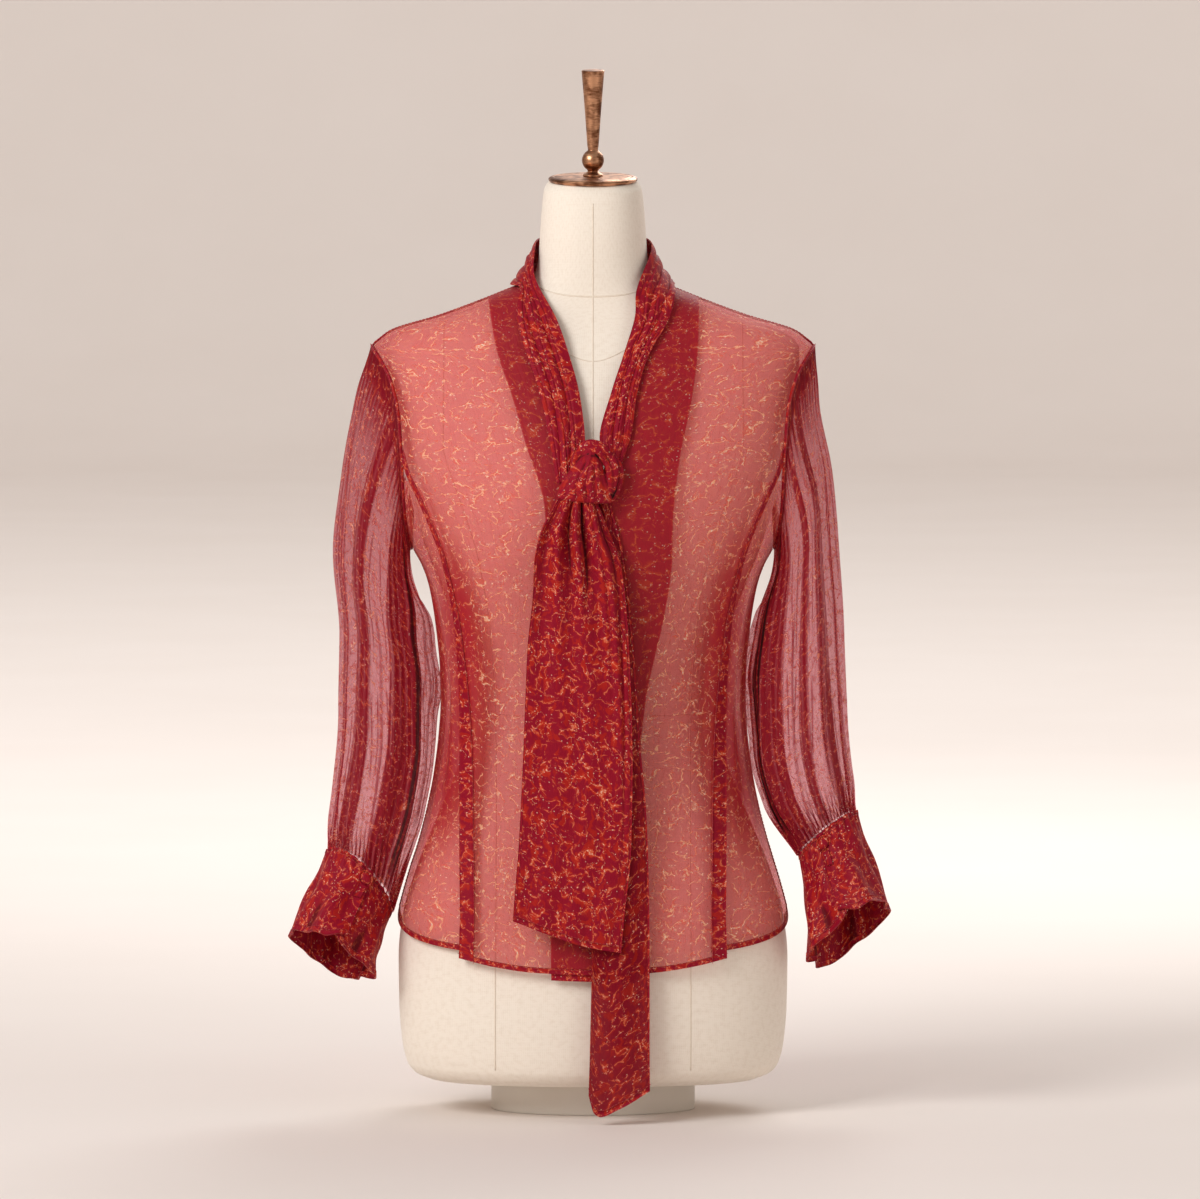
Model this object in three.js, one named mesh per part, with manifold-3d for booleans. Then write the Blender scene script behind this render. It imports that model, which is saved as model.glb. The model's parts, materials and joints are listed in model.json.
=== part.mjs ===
// A sheer bow blouse with a long tie collar and full sleeves, worn on a limbless dress form.
// Millimetres. X runs across the body, the front faces -Y and +Z is up. The origin lies under the
// middle of the form, on the surface that the plinth stands on. "Turn" is the angle round the body
// in degrees, 0 at centre front and 90 at the +X side seam.
import * as THREE from "three";
import { mergeVertices } from "three/addons/utils/BufferGeometryUtils.js";
import Module from "manifold-3d";

const wasm = await Module();
wasm.setup();

// Cloth and seams
const CLOTH = 1.2;
const FACING = 1.0;
const DOUBLED = 2.0;
const CUFF_CLOTH = 1.6;
const SEAM = 0.3;
const SIDE_SEAM = 0.5;
const LAP_GAP = 1.5;
const FACING_GAP = 0.55;
const NECK_EASE = 1.6;

// Heights that the pieces share
const PLINTH_HEIGHT = 29.7;
const NECK_TOP = 837;
const NECKLINE = 742;
const SHOULDER_TIP = 689;
const UNDERARM = 509;
const PRINCESS_TOP = 600;
const KNOT_BOTTOM = 552;

// How square the body's level sections are: 2 is an ellipse
const SQUARENESS = 2.3;

const COLOURS = {
  cloth: 0xb0303a,
  doubled: 0x8f1426,
  linen: 0xefe4d4,
  metal: 0x8a5c3f,
  plinth: 0xe6e0d6,
};

// Rows with named columns, as objects.
function table(columns, rows) {
  const names = columns.split(" ");
  return rows.map((row) => Object.fromEntries(names.map((name, i) => [name, row[i]])));
}

// Level sections of the dress form: half width at the side seam, depth to the front and the back
const formRows = table("z half front back", [
  [30, 148, 82, 98],
  [35.5, 161, 92, 108],
  [44, 167.5, 97.5, 113.5],
  [62, 172, 100.5, 116.5],
  [95, 174.8, 103, 119],
  [140, 175.5, 104, 120],
  [175, 172, 104, 118.5],
  [220, 159, 101.5, 111.5],
  [250, 147, 97.5, 104],
  [290, 130, 90, 92.5],
  [330, 115.5, 83, 82],
  [362, 110, 80, 77],
  [400, 113, 82.5, 76.5],
  [440, 124, 92, 81],
  [480, 139, 106, 88],
  [510, 151, 116.5, 92.5],
  [540, 160.5, 121, 95.5],
  [570, 168, 120, 98],
  [600, 175, 112, 99.5],
  [640, 181.5, 95, 98],
  [670, 185.5, 79, 92],
  [690, 185, 68.5, 85],
  [700, 175, 62.5, 79],
  [712.6, 141, 57.5, 73],
  [722.6, 110, 54.5, 66.5],
  [732.5, 82, 52.5, 60.5],
  [742, 61, 51.5, 55],
  [752, 53, 52, 51],
  [768, 49, 52.5, 46.5],
  [786, 47.8, 53, 43],
  [812, 46, 51.5, 37.5],
  [830, 43.8, 48.5, 32.5],
  [NECK_TOP, 39.5, 44.5, 28],
]);

// Level sections of the blouse's body, at the middle of its cloth
const shirtRows = table("z half front back", [
  [120, 179.5, 111, 126.5],
  [150, 179, 110.5, 125.5],
  [170, 177.5, 110, 123.5],
  [190, 173, 109, 121],
  [220, 164.5, 107, 117],
  [250, 154.5, 104.5, 111],
  [275, 147.5, 102.5, 105.5],
  [307, 140.5, 101, 99.5],
  [341, 135.5, 100.5, 94.5],
  [370, 133.5, 101, 92],
  [400, 134.5, 103, 91.5],
  [440, 139.5, 108.5, 93],
  [472, 146, 115, 95.5],
  [492, 153, 119.5, 97],
  [UNDERARM, 162, 122.5, 98.5],
  [548, 177, 125.7, 102],
  [600, 189, 117, 104],
  [640, 195, 101, 102.5],
  [665, 197.5, 87, 98],
  [SHOULDER_TIP, 197, 73.5, 89.5],
  [697, 189, 69, 85.5],
  [703, 180, 66, 82],
  [716, 138, 61, 75],
  [728, 105, 57.5, 68],
  [NECKLINE, 70, 55.5, 60],
]);

// Soft folds of the body: where each runs, how far round its foot has drifted from its head, its
// half width in degrees and how far it stands out
const bodyFolds = table("turn top bottom drift width depth", [
  [-83, 500, 235, -5, 4.5, 4.0],
  [-71, 545, 265, 9, 4.0, 4.5],
  [-61, 480, 300, 6, 3.5, 3.2],
  [-52, 560, 330, -7, 4.0, 2.6],
  [-77, 330, 175, 12, 4.0, 2.4],
  [-58, 340, 160, 10, 4.5, 2.2],
  [82, 505, 225, 6, 4.5, 4.2],
  [70, 530, 280, -8, 4.0, 4.2],
  [60, 500, 310, -5, 3.5, 3.4],
  [50, 550, 320, 6, 4.5, 2.4],
  [75, 325, 170, -12, 4.0, 2.6],
  [57, 335, 165, -9, 4.5, 2.0],
  [100, 520, 240, 8, 4.5, 4.0],
  [118, 500, 260, -9, 5.0, 3.6],
  [139, 560, 230, 6, 5.0, 3.0],
  [161, 520, 210, -5, 5.0, 2.6],
  [-102, 510, 235, -9, 4.5, 4.2],
  [-121, 530, 270, 8, 5.0, 3.4],
  [-141, 550, 240, -7, 5.0, 3.0],
  [-164, 500, 200, 5, 5.0, 2.4],
]);

// Half armhole: an upright oval between the shoulder tip and the underarm
const ARMHOLE_MIDDLE = (SHOULDER_TIP + UNDERARM) / 2;
const ARMHOLE_RISE = (SHOULDER_TIP - UNDERARM) / 2;
const ARMHOLE_REACH = 60;

// Front edge of a centre front: down the middle, then out along the neckline
const frontEdgeRows = table("z x", [
  [120, 0.4],
  [556, 0.4],
  [575, 6],
  [600, 15],
  [618, 20],
  [650, 31],
  [690, 44],
  [725, 55],
  [NECKLINE, 60],
]);

// Lapped princess seam: distance from the middle and width of the lap
const princessRows = table("z x lap", [
  [120, 112, 13],
  [300, 111, 12],
  [350, 111.5, 10],
  [430, 117, 6],
  [500, 130, 4],
  [550, 149, 4],
  [580, 163, 4],
  [PRINCESS_TOP, 171, 4],
]);

// Outer edge of each facing, from the hem to the shoulder seam
const facingRows = table("z right left", [
  [120, 37, 38],
  [325, 38, 41.4],
  [381, 39, 47],
  [415, 40, 54],
  [455, 40.5, 63],
  [508, 41, 70],
  [538, 41.5, 70.5],
  [553, 42.5, 71.5],
  [576, 48, 74],
  [600, 57, 78],
  [650, 72, 88.5],
  [691, 86, 93.5],
  [NECKLINE, 95, 95],
]);

// Height of the hem round the body; the centre front hangs below the side front at their seam
const centreHemRows = table("turn z", [
  [0, 134],
  [14, 136],
  [25, 140],
  [38, 147],
]);
const sideHemRows = table("turn z", [
  [30, 152],
  [45, 155.5],
  [62, 161.5],
  [76, 169.5],
  [90, 183],
]);
const backHemRows = table("turn z", [
  [90, 183],
  [104, 166],
  [122, 150],
  [150, 138],
  [180, 134],
]);
const FACING_BELOW_HEM = 6;
const HEM_FADE = 120;

// Body: rows of the grids that the panels are built on
const bodyHeights = [
  134, 165, 205, 250, 295, 340, 385, 430, 470, 509, 530, 555, 580, 605, 635, 665, 689, 702, 711,
  719, 726, 731, 736, NECKLINE,
];
const sideHeights = [154, 175, 205, 250, 295, 340, 385, 430, 470, 509, 520, 540, 572];
const backHeights = [
  134, 165, 205, 250, 295, 340, 385, 430, 470, 509, 530, 570, 620, 660, 689, 703, 720, NECKLINE,
];

// Sleeve sections along the arm, measured outwards from the body's middle. The section is an oval
// about mid; "out" leads to its outer edge and "fore" to its front edge.
const SLEEVE_COLUMNS = "s midX midY midZ outX outZ foreX foreY foreZ";
const rightSleeveRows = table(SLEEVE_COLUMNS, [
  [0.0, 181, 0, 599, 19, 90, 0, -60, 0],
  [0.1, 188, 0, 565, 25, 75, 0, -58, 0],
  [0.22, 191.5, 0, 519, 31.5, 57, 0, -56, 0],
  [0.36, 191.5, 0, 465, 38.5, 41, 0, -54, 0],
  [0.52, 185.5, 0, 403, 39, 27, 0, -53, 0],
  [0.67, 185.5, -3, 343, 40.5, 18, 0, -51, 2],
  [0.82, 192.5, -8, 283, 39, 14, -1, -49, 6],
  [0.93, 203, -14, 238, 33.5, 18, -4, -43, 12],
  [1.0, 210, -18, 208, 28, 28, -7, -33, 16],
]);
const leftSleeveRows = table(SLEEVE_COLUMNS, [
  [0.0, 181, 0, 599, 19, 90, 0, -60, 0],
  [0.1, 182.5, 0, 566, 19.5, 74, 0, -58, 0],
  [0.23, 186, 0, 520, 26, 57, 0, -56, 0],
  [0.38, 184, 0, 466, 33.5, 41, 0, -54, 0],
  [0.55, 182.5, 0, 405, 40, 27, 0, -53, 0],
  [0.73, 184.5, -4, 340, 41.5, 17, 0, -51, 1],
  [0.88, 193.5, -9, 290, 38, 14, -1, -46, 4],
  [1.0, 211, -14, 251, 25, 20.5, -5, -34, 6],
]);

// Cuffs: the section at the gathered seam is the sleeve's last one, and this is the hem's
const CUFF_COLUMNS = "midX midY midZ outX outZ foreX foreY foreZ";
const [rightCuffHem] = table(CUFF_COLUMNS, [[234.5, -50, 145, 35, 19, -3, -43, 18]]);
const [leftCuffHem] = table(CUFF_COLUMNS, [[229, -48, 164, 36, 25, 0, -43, 22]]);
const CUFF_LAP = 24;
const CUFF_START = 78;
const CUFF_SPREAD = 3.2;
const CUFF_FLUTES = 4;
const CUFF_FLUTE_DEPTH = 4.2;
const CUFF_CORNER = 0.12;
const SLEEVE_TO_CUFF = 1.7;
const SLEEVE_TO_BODY = 2.4;

// Folds round a sleeve: how many, how deep in the middle, and how much two slower waves upset them
const SLEEVE_FOLDS = 10;
const SLEEVE_FOLD_DEPTH = 2.7;
const SLEEVE_SLOW_FOLDS = 5;
const SLEEVE_SLOW_DEPTH = 1.8;

// Tie collar round the neck: its inner and outer edges from the knot up to the shoulder, then
// round the back of the neck
const collarFront = table("side innerX innerZ outerX outerZ", [
  [-1, 9, 577, 31, 572],
  [-1, 7, 610, 38, 610],
  [-1, 12, 650, 48, 652],
  [-1, 21, 683, 61, 690],
  [-1, 31.5, 713, 67, 719],
]);
const collarFrontLeft = table("side innerX innerZ outerX outerZ", [
  [1, 37, 738, 71, 733],
  [1, 37, 717, 66, 712],
  [1, 27, 683, 50, 684],
  [1, 16, 650, 39, 650],
  [1, 6, 611, 33, 613],
  [1, 11, 597, 25, 590],
]);
const collarRound = table("turn innerZ outerZ", [
  [-55, 754, 743],
  [-78, 776, 745],
  [-105, 785, 745],
  [-135, 787, 745.5],
  [-165, 788, 746],
  [-195, 788, 746],
  [-225, 787, 745.5],
  [-255, 785, 745],
  [-282, 776, 745],
]);
// Level sections of the standing neck stretch, at its inner and outer edges
const collarRows = table("z half front back", [
  [733, 94, 60, 70],
  [744, 75.5, 61.5, 66],
  [756, 60.5, 60, 58],
  [770, 54.8, 59.5, 53.5],
  [789, 50.2, 58, 48.5],
]);
// Columns of a centre front's grid, and how many of them its facing lies behind
const FRONT_COLUMNS = 8;
const FACING_COLUMNS = 3;
const FACING_SHORT = 6;

const COLLAR_LIFT = 4.3;
const COLLAR_ARCH = 3.2;
const COLLAR_NECK_ARCH = 0.6;
const COLLAR_WIDTH = 46;
const COLLAR_ROLLS = 3;
const COLLAR_ROLL_DEPTH = 1.5;

// Knot: level sections of the wrapped band, and the rolls that lead into it
const knotRows = table("z midX half midY depth", [
  [KNOT_BOTTOM, -6, 17, -142, 5.5],
  [556, -6, 24, -142, 9],
  [563, -6.5, 26.5, -142, 10.5],
  [573, -6.5, 25, -142, 11],
  [583, -7, 20, -142, 10.5],
  [591, -7, 14, -141.5, 8.5],
  [597, -7, 7, -140.5, 5],
]);
const KNOT_ROOM = 1.1;
const KNOT_PLEATS = 7;
const KNOT_PLEAT_DEPTH = 0.9;
const knotRolls = [
  {
    radius: 6,
    points: [
      [-14, -131, 589],
      [-9, -136, 602],
      [1, -138.5, 606.5],
      [10, -136, 601],
      [15, -133, 588],
    ],
  },
  {
    radius: 5,
    points: [
      [15, -133.5, 598],
      [19.5, -137, 584],
      [17, -139, 566],
    ],
  },
];

// Tie ends: edges and depth at each height, and how deep their lengthwise folds are there
const wideEndRows = table("z left right y fold", [
  [155, -72, 25, -127, 0.8],
  [184, -71, 27.5, -127.5, 0.9],
  [253, -65.7, 34, -128.5, 1.0],
  [325, -62, 35, -130, 1.2],
  [375, -60, 34, -131.5, 1.6],
  [431, -57.6, 31.5, -134, 2.4],
  [475, -53, 28.5, -137, 3.4],
  [505, -51.5, 24, -139.5, 4.2],
  [530, -46, 14, -141, 4.2],
  [551, -36, 6, -142, 2.2],
  [562, -30, 2, -142, 1.4],
]);
const longEndRows = table("z left right y fold", [
  [5, -4.5, 51, -119, 0.8],
  [68, -2.7, 50.5, -118.5, 1.2],
  [158, -1, 50.4, -119, 1.5],
  [219, -1, 49.5, -119.5, 1.6],
  [281, -2, 47, -120, 1.7],
  [343, -3, 41.5, -121.5, 1.8],
  [430, -3, 36, -125.5, 1.6],
  [500, -2, 29, -129, 1.2],
  [551, 1, 17, -130.5, 0.9],
  [562, 2, 14, -130.5, 0.8],
]);
const wideHemRows = table("u z", [
  [0, 184],
  [0.36, 171],
  [0.68, 161],
  [1, 155.5],
]);
const longHemRows = table("u z", [
  [0, 27],
  [0.1, 11],
  [0.2, 8],
  [0.5, 15],
  [1, 31],
]);
const TIE_TOP = 562;
const WIDE_FOLDS = 3.5;
const LONG_FOLDS = 1.5;
const TIE_BOW = 2.5;

// Metal parts
const CAP_TILT = 5;
const CAP_RADIUS = 40;
const CAP_THICKNESS = 5;
const CAP_EDGE = 2;
const NECK_AXIS_Y = -8.25;
const FINIAL = { foot: 9, footHeight: 5, ball: 9.9, waist: 4.6, root: 5, top: 10.3, height: 95 };

// Plinth
const PLINTH = { half: 92, depth: 56, midY: 8 };

// Cuff buttons
const BUTTON = { radius: 5.5, height: 4.2, edge: 1.2, place: 0.14 };

const radians = THREE.MathUtils.degToRad;
const lerp = THREE.MathUtils.lerp;
const smoothstep = THREE.MathUtils.smoothstep;

function signedPower(value, power) {
  return Math.sign(value) * Math.abs(value) ** power;
}

// A smooth curve through one column of a table that makes no new highs or lows between rows.
function profile(rows, column, key = "z") {
  const at = rows.map((row) => row[key]);
  const value = rows.map((row) => row[column]);
  const last = at.length - 1;
  const secant = at.slice(1).map((x, i) => (value[i + 1] - value[i]) / (x - at[i]));
  const slope = value.map((_, i) => {
    if (i === 0) return secant[0];
    if (i === last) return secant[last - 1];
    const before = secant[i - 1];
    const after = secant[i];
    return before * after <= 0 ? 0 : (2 * before * after) / (before + after);
  });
  return (x) => {
    if (x <= at[0]) return value[0];
    if (x >= at[last]) return value[last];
    const i = at.findIndex((edge) => edge > x) - 1;
    const span = at[i + 1] - at[i];
    const t = (x - at[i]) / span;
    const rest = 1 - t;
    return (
      value[i] * (1 + 2 * t) * rest * rest +
      slope[i] * span * t * rest * rest +
      value[i + 1] * t * t * (3 - 2 * t) -
      slope[i + 1] * span * t * t * rest
    );
  };
}

function ringShape(rows) {
  return {
    half: profile(rows, "half"),
    front: profile(rows, "front"),
    back: profile(rows, "back"),
    low: rows[0].z,
    high: rows[rows.length - 1].z,
  };
}

// A point of a level section, by its turn round the body.
function ringPoint(shape, turn, z) {
  const across = Math.sin(radians(turn));
  const fore = Math.cos(radians(turn));
  const depth = fore > 0 ? shape.front(z) : shape.back(z);
  const power = 2 / SQUARENESS;
  return new THREE.Vector3(
    shape.half(z) * signedPower(across, power),
    -depth * signedPower(fore, power),
    z,
  );
}

// The turn at which the front of a section lies a distance x from the middle.
function turnAtX(shape, x, z) {
  const share = Math.min(1, x / shape.half(z));
  return THREE.MathUtils.radToDeg(Math.asin(share ** (SQUARENESS / 2)));
}

const princess = { x: profile(princessRows, "x"), lap: profile(princessRows, "lap") };
const form = ringShape(formRows);
const shirt = ringShape(shirtRows);
const collar = ringShape(collarRows);

// How far the body's folds stand out at one place. They lie flat along the lapped seam.
function foldHeight(turn, z) {
  const fromSeam = Math.abs(Math.abs(turn) - turnAtX(shirt, princess.x(z), z));
  const flat = Math.abs(turn) < 90 ? smoothstep(fromSeam, 3, 11) : 1;
  return bodyFolds.reduce((sum, fold) => {
    if (z <= fold.bottom || z >= fold.top) return sum;
    const along = (z - fold.bottom) / (fold.top - fold.bottom);
    const centre = fold.turn + fold.drift * (1 - along);
    const away = ((((turn - centre + 180) % 360) + 360) % 360) - 180;
    return sum + flat * fold.depth * Math.sin(Math.PI * along) * Math.exp(-((away / fold.width) ** 2));
  }, 0);
}

// A point of the blouse's body, moved out from the middle of its cloth.
function shirtPoint(turn, z, out = 0) {
  const step = 0.5;
  const point = ringPoint(shirt, turn, z);
  const round = ringPoint(shirt, turn + step, z).sub(ringPoint(shirt, turn - step, z));
  const high = Math.min(shirt.high, z + step);
  const low = Math.max(shirt.low, z - step);
  const up = ringPoint(shirt, turn, high).sub(ringPoint(shirt, turn, low));
  const normal = round.cross(up).normalize();
  return point.addScaledVector(normal, out + foldHeight(turn, z));
}

// The front or back half of the armhole, as a turn at each height.
function armholeTurn(z, depth) {
  const rise = THREE.MathUtils.clamp((z - ARMHOLE_MIDDLE) / ARMHOLE_RISE, -1, 1);
  const y = ARMHOLE_REACH * Math.sqrt(1 - rise * rise);
  const turn = THREE.MathUtils.radToDeg(Math.acos((y / depth(z)) ** (SQUARENESS / 2)));
  return depth === shirt.front ? turn : 180 - turn;
}

function geometryOf(positions, triangles) {
  const geometry = new THREE.BufferGeometry();
  geometry.setAttribute("position", new THREE.Float32BufferAttribute(positions, 3));
  geometry.setIndex(triangles);
  geometry.computeVertexNormals();
  return geometry;
}

function signedVolume(points, triangles) {
  let sum = 0;
  for (let i = 0; i < triangles.length; i += 3) {
    const [a, b, c] = [0, 1, 2].map((k) => points[triangles[i + k]]);
    sum += a.dot(b.clone().cross(c));
  }
  return sum;
}

// A closed mesh of shared points, turned to face outwards.
function closedGeometry(points, triangles) {
  const outward = signedVolume(points, triangles) > 0;
  const faces = outward ? triangles : triangles.slice().reverse();
  return geometryOf(points.flatMap((p) => p.toArray()), faces);
}

// A wall of cloth about a surface of u (across) and v (along), each from 0 to 1. A closed wall
// joins its two side edges.
function clothWall(surface, across, along, thickness, closed = false) {
  const columns = closed ? across : across + 1;
  const nudge = 1e-3;
  const within = (value) => THREE.MathUtils.clamp(value, 0, 1);
  const outer = [];
  const inner = [];
  for (let j = 0; j <= along; j += 1) {
    for (let i = 0; i < columns; i += 1) {
      const u = i / across;
      const v = j / along;
      const before = closed ? u - nudge : within(u - nudge);
      const after = closed ? u + nudge : within(u + nudge);
      const round = surface(after, v).sub(surface(before, v));
      const up = surface(u, within(v + nudge)).sub(surface(u, within(v - nudge)));
      const normal = round.cross(up).normalize();
      const point = surface(u, v);
      outer.push(point.clone().addScaledVector(normal, thickness / 2));
      inner.push(point.addScaledVector(normal, -thickness / 2));
    }
  }
  const count = outer.length;
  const at = (i, j) => (i % columns) + j * columns;
  const triangles = [];
  const quad = (a, b, c, d) => triangles.push(a, b, c, a, c, d);
  for (let j = 0; j < along; j += 1) {
    for (let i = 0; i < across; i += 1) {
      const [a, b, c, d] = [at(i, j), at(i + 1, j), at(i + 1, j + 1), at(i, j + 1)];
      quad(a, b, c, d);
      quad(d + count, c + count, b + count, a + count);
    }
    if (!closed) {
      const [a, d] = [at(0, j), at(0, j + 1)];
      const [b, c] = [at(across, j), at(across, j + 1)];
      quad(a, d, d + count, a + count);
      quad(c, b, b + count, c + count);
    }
  }
  for (let i = 0; i < across; i += 1) {
    const [a, b] = [at(i, 0), at(i + 1, 0)];
    const [d, c] = [at(i, along), at(i + 1, along)];
    quad(b, a, a + count, b + count);
    quad(d, c, c + count, d + count);
  }
  return closedGeometry([...outer, ...inner], triangles);
}

// A solid skinned over closed rings of points, with a fan over each end.
function loft(rings) {
  const sides = rings[0].length;
  const points = rings.flat();
  const triangles = [];
  for (let j = 0; j + 1 < rings.length; j += 1) {
    for (let i = 0; i < sides; i += 1) {
      const next = (i + 1) % sides;
      const [a, b] = [j * sides + i, j * sides + next];
      triangles.push(a, b, b + sides, a, b + sides, a + sides);
    }
  }
  const middle = (ring) => ring.reduce((sum, p) => sum.add(p), new THREE.Vector3()).divideScalar(sides);
  const [bottom, top] = [points.length, points.length + 1];
  points.push(middle(rings[0]), middle(rings[rings.length - 1]));
  const lastRing = (rings.length - 1) * sides;
  for (let i = 0; i < sides; i += 1) {
    const next = (i + 1) % sides;
    triangles.push(bottom, next, i, top, lastRing + i, lastRing + next);
  }
  return closedGeometry(points, triangles);
}

function solidOf(geometry) {
  const bare = geometry.clone();
  bare.deleteAttribute("normal");
  bare.deleteAttribute("uv");
  const merged = mergeVertices(bare, 1e-4);
  return new wasm.Manifold(
    new wasm.Mesh({
      numProp: 3,
      vertProperties: new Float32Array(merged.attributes.position.array),
      triVerts: new Uint32Array(merged.index.array),
    }),
  );
}

function geometryOfSolid(solid) {
  const { vertProperties, triVerts } = solid.getMesh();
  return geometryOf(Array.from(vertProperties), Array.from(triVerts));
}

const finishes = {
  cloth: () => new THREE.MeshStandardMaterial({ color: COLOURS.cloth, roughness: 0.8 }),
  doubled: () => new THREE.MeshStandardMaterial({ color: COLOURS.doubled, roughness: 0.8 }),
  linen: () => new THREE.MeshStandardMaterial({ color: COLOURS.linen, roughness: 0.95 }),
  metal: () =>
    new THREE.MeshStandardMaterial({ color: COLOURS.metal, roughness: 0.4, metalness: 1 }),
  plinth: () => new THREE.MeshStandardMaterial({ color: COLOURS.plinth, roughness: 0.7 }),
};

function piece(name, geometry, finish) {
  const mesh = new THREE.Mesh(geometry, finishes[finish]());
  mesh.name = name;
  return mesh;
}

// Dress form
function formBody() {
  const sides = 32;
  const rings = formRows.map(({ z }) => {
    const lean = Math.tan(radians(CAP_TILT)) * smoothstep(z, 768, NECK_TOP);
    return Array.from({ length: sides }, (_, i) => {
      const point = ringPoint(form, (360 * i) / sides, z);
      point.z += lean * (point.y - NECK_AXIS_Y);
      return point;
    });
  });
  return piece("form_body", loft(rings), "linen");
}

function latheProfile(pairs) {
  return pairs.map(([radius, height]) => new THREE.Vector2(radius, height));
}

// Points of a round bead's outline between two of its own heights.
function beadOutline(radius, centre, from, to, steps) {
  return Array.from({ length: steps + 1 }, (_, i) => {
    const angle = lerp(Math.asin((from - centre) / radius), Math.asin((to - centre) / radius), i / steps);
    return [radius * Math.cos(angle), centre + radius * Math.sin(angle)];
  });
}

function metalTop() {
  const group = new THREE.Group();
  const capOutline = [
    [0, 0],
    [CAP_RADIUS - CAP_EDGE, 0],
    [CAP_RADIUS - 0.4, 0.8],
    [CAP_RADIUS, 2],
    [CAP_RADIUS - 0.5, 3.6],
    [CAP_RADIUS - CAP_EDGE, 4.6],
    [CAP_RADIUS - 2 * CAP_EDGE, CAP_THICKNESS],
    [0, CAP_THICKNESS],
  ];
  const cap = piece("neck_cap", new THREE.LatheGeometry(latheProfile(capOutline), 32), "metal");
  const ballLow = FINIAL.footHeight;
  const ballMiddle = ballLow + FINIAL.ball * 0.92;
  const ballHigh = ballMiddle + FINIAL.ball * 0.9;
  const rodOutline = [
    [0, 0],
    [FINIAL.foot, 0],
    [FINIAL.foot, 1.2],
    [FINIAL.foot * 0.72, 2.6],
    [FINIAL.waist * 0.95, ballLow - 0.4],
    ...beadOutline(FINIAL.ball, ballMiddle, ballLow + 0.2, ballHigh, 7),
    [FINIAL.waist, ballHigh + 0.6],
    [FINIAL.root, ballHigh + 4],
    [FINIAL.root + 2.2, ballHigh + 34],
    [FINIAL.top - 0.2, FINIAL.height - 2],
    [FINIAL.top, FINIAL.height - 0.6],
    [FINIAL.top - 0.6, FINIAL.height],
    [0, FINIAL.height],
  ];
  const finial = piece("finial", new THREE.LatheGeometry(latheProfile(rodOutline), 18), "metal");
  const upright = new THREE.Group();
  upright.rotation.x = Math.PI / 2;
  finial.position.y = CAP_THICKNESS + SEAM;
  upright.add(cap, finial);
  group.position.set(0, NECK_AXIS_Y, NECK_TOP + SEAM);
  group.rotation.x = radians(CAP_TILT);
  group.add(upright);
  return group;
}

function plinth() {
  const outline = new THREE.Shape().absellipse(0, 0, PLINTH.half, PLINTH.depth, 0, 2 * Math.PI);
  const geometry = new THREE.ExtrudeGeometry(outline, {
    depth: PLINTH_HEIGHT,
    bevelEnabled: false,
    curveSegments: 22,
  });
  const mesh = piece("plinth", geometry, "plinth");
  mesh.position.y = PLINTH.midY;
  return mesh;
}

// Blouse body. side is -1 for the wearer's right and 1 for the wearer's left.
const frontEdge = profile(frontEdgeRows, "x");
const facingEdges = {
  right: profile(facingRows, "right"),
  left: profile(facingRows, "left"),
};
const hem = {
  centre: profile(centreHemRows, "z", "turn"),
  side: profile(sideHemRows, "z", "turn"),
  back: profile(backHemRows, "z", "turn"),
};

// The listed heights as one run from 0 to 1.
function heightAt(heights, v) {
  const place = v * (heights.length - 1);
  const i = Math.min(heights.length - 2, Math.floor(place));
  return lerp(heights[i], heights[i + 1], place - i);
}

// Lowers or raises a grid's lowest rows so that its foot follows the hem.
function alongHem(z, foot, hemHeight) {
  const fade = Math.max(0, 1 - (z - foot) / HEM_FADE);
  return z + (hemHeight - foot) * fade * fade;
}

// Keeps the front and the back apart along the side and shoulder seams.
function apart(point, toBack) {
  point.y += toBack ? SIDE_SEAM / 2 : -SIDE_SEAM / 2;
  return point;
}

// The centre front lies over the side front along their lap.
function centreLift(z) {
  return (CLOTH + LAP_GAP) * (1 - smoothstep(z, PRINCESS_TOP - 24, PRINCESS_TOP + 2));
}

// Above the chest it stands a little further out, clear of its facing on the sharp shoulder.
function neckEase(z) {
  return NECK_EASE * smoothstep(z, SHOULDER_TIP, SHOULDER_TIP + 20);
}

function centreOuterTurn(z) {
  if (z <= PRINCESS_TOP) return turnAtX(shirt, princess.x(z) + princess.lap(z) / 2, z);
  if (z < SHOULDER_TIP) return armholeTurn(z, shirt.front);
  return 90;
}

// Three turns at one height: the front edge, the facing's outer edge, the centre front's outer edge.
function frontTurns(level, facingEdge) {
  const inner = turnAtX(shirt, frontEdge(level), level);
  const outer = centreOuterTurn(level);
  const middle = Math.min(turnAtX(shirt, facingEdge(level), level), outer - FACING_SHORT);
  return { inner, middle, outer };
}

function centreFront(name, side, facingEdge) {
  const share = FACING_COLUMNS / FRONT_COLUMNS;
  const surface = (u, v) => {
    const level = heightAt(bodyHeights, v);
    const { inner, middle, outer } = frontTurns(level, facingEdge);
    const turn =
      u < share ? lerp(inner, middle, u / share) : lerp(middle, outer, (u - share) / (1 - share));
    const z = alongHem(level, bodyHeights[0], hem.centre(turn));
    return apart(shirtPoint(side * turn, z, centreLift(z) + neckEase(z)), false);
  };
  return piece(name, clothWall(surface, FRONT_COLUMNS, bodyHeights.length - 1, CLOTH), "cloth");
}

function sideFront(name, side) {
  const surface = (u, v) => {
    const level = heightAt(sideHeights, v);
    const inner = turnAtX(shirt, princess.x(level) - princess.lap(level) / 2, level);
    const outer = level <= UNDERARM ? 90 : armholeTurn(level, shirt.front);
    const turn = lerp(inner, outer, u);
    const z = alongHem(level, sideHeights[0], hem.side(turn));
    return apart(shirtPoint(side * turn, z), false);
  };
  return piece(name, clothWall(surface, 6, sideHeights.length - 1, CLOTH), "cloth");
}

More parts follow.
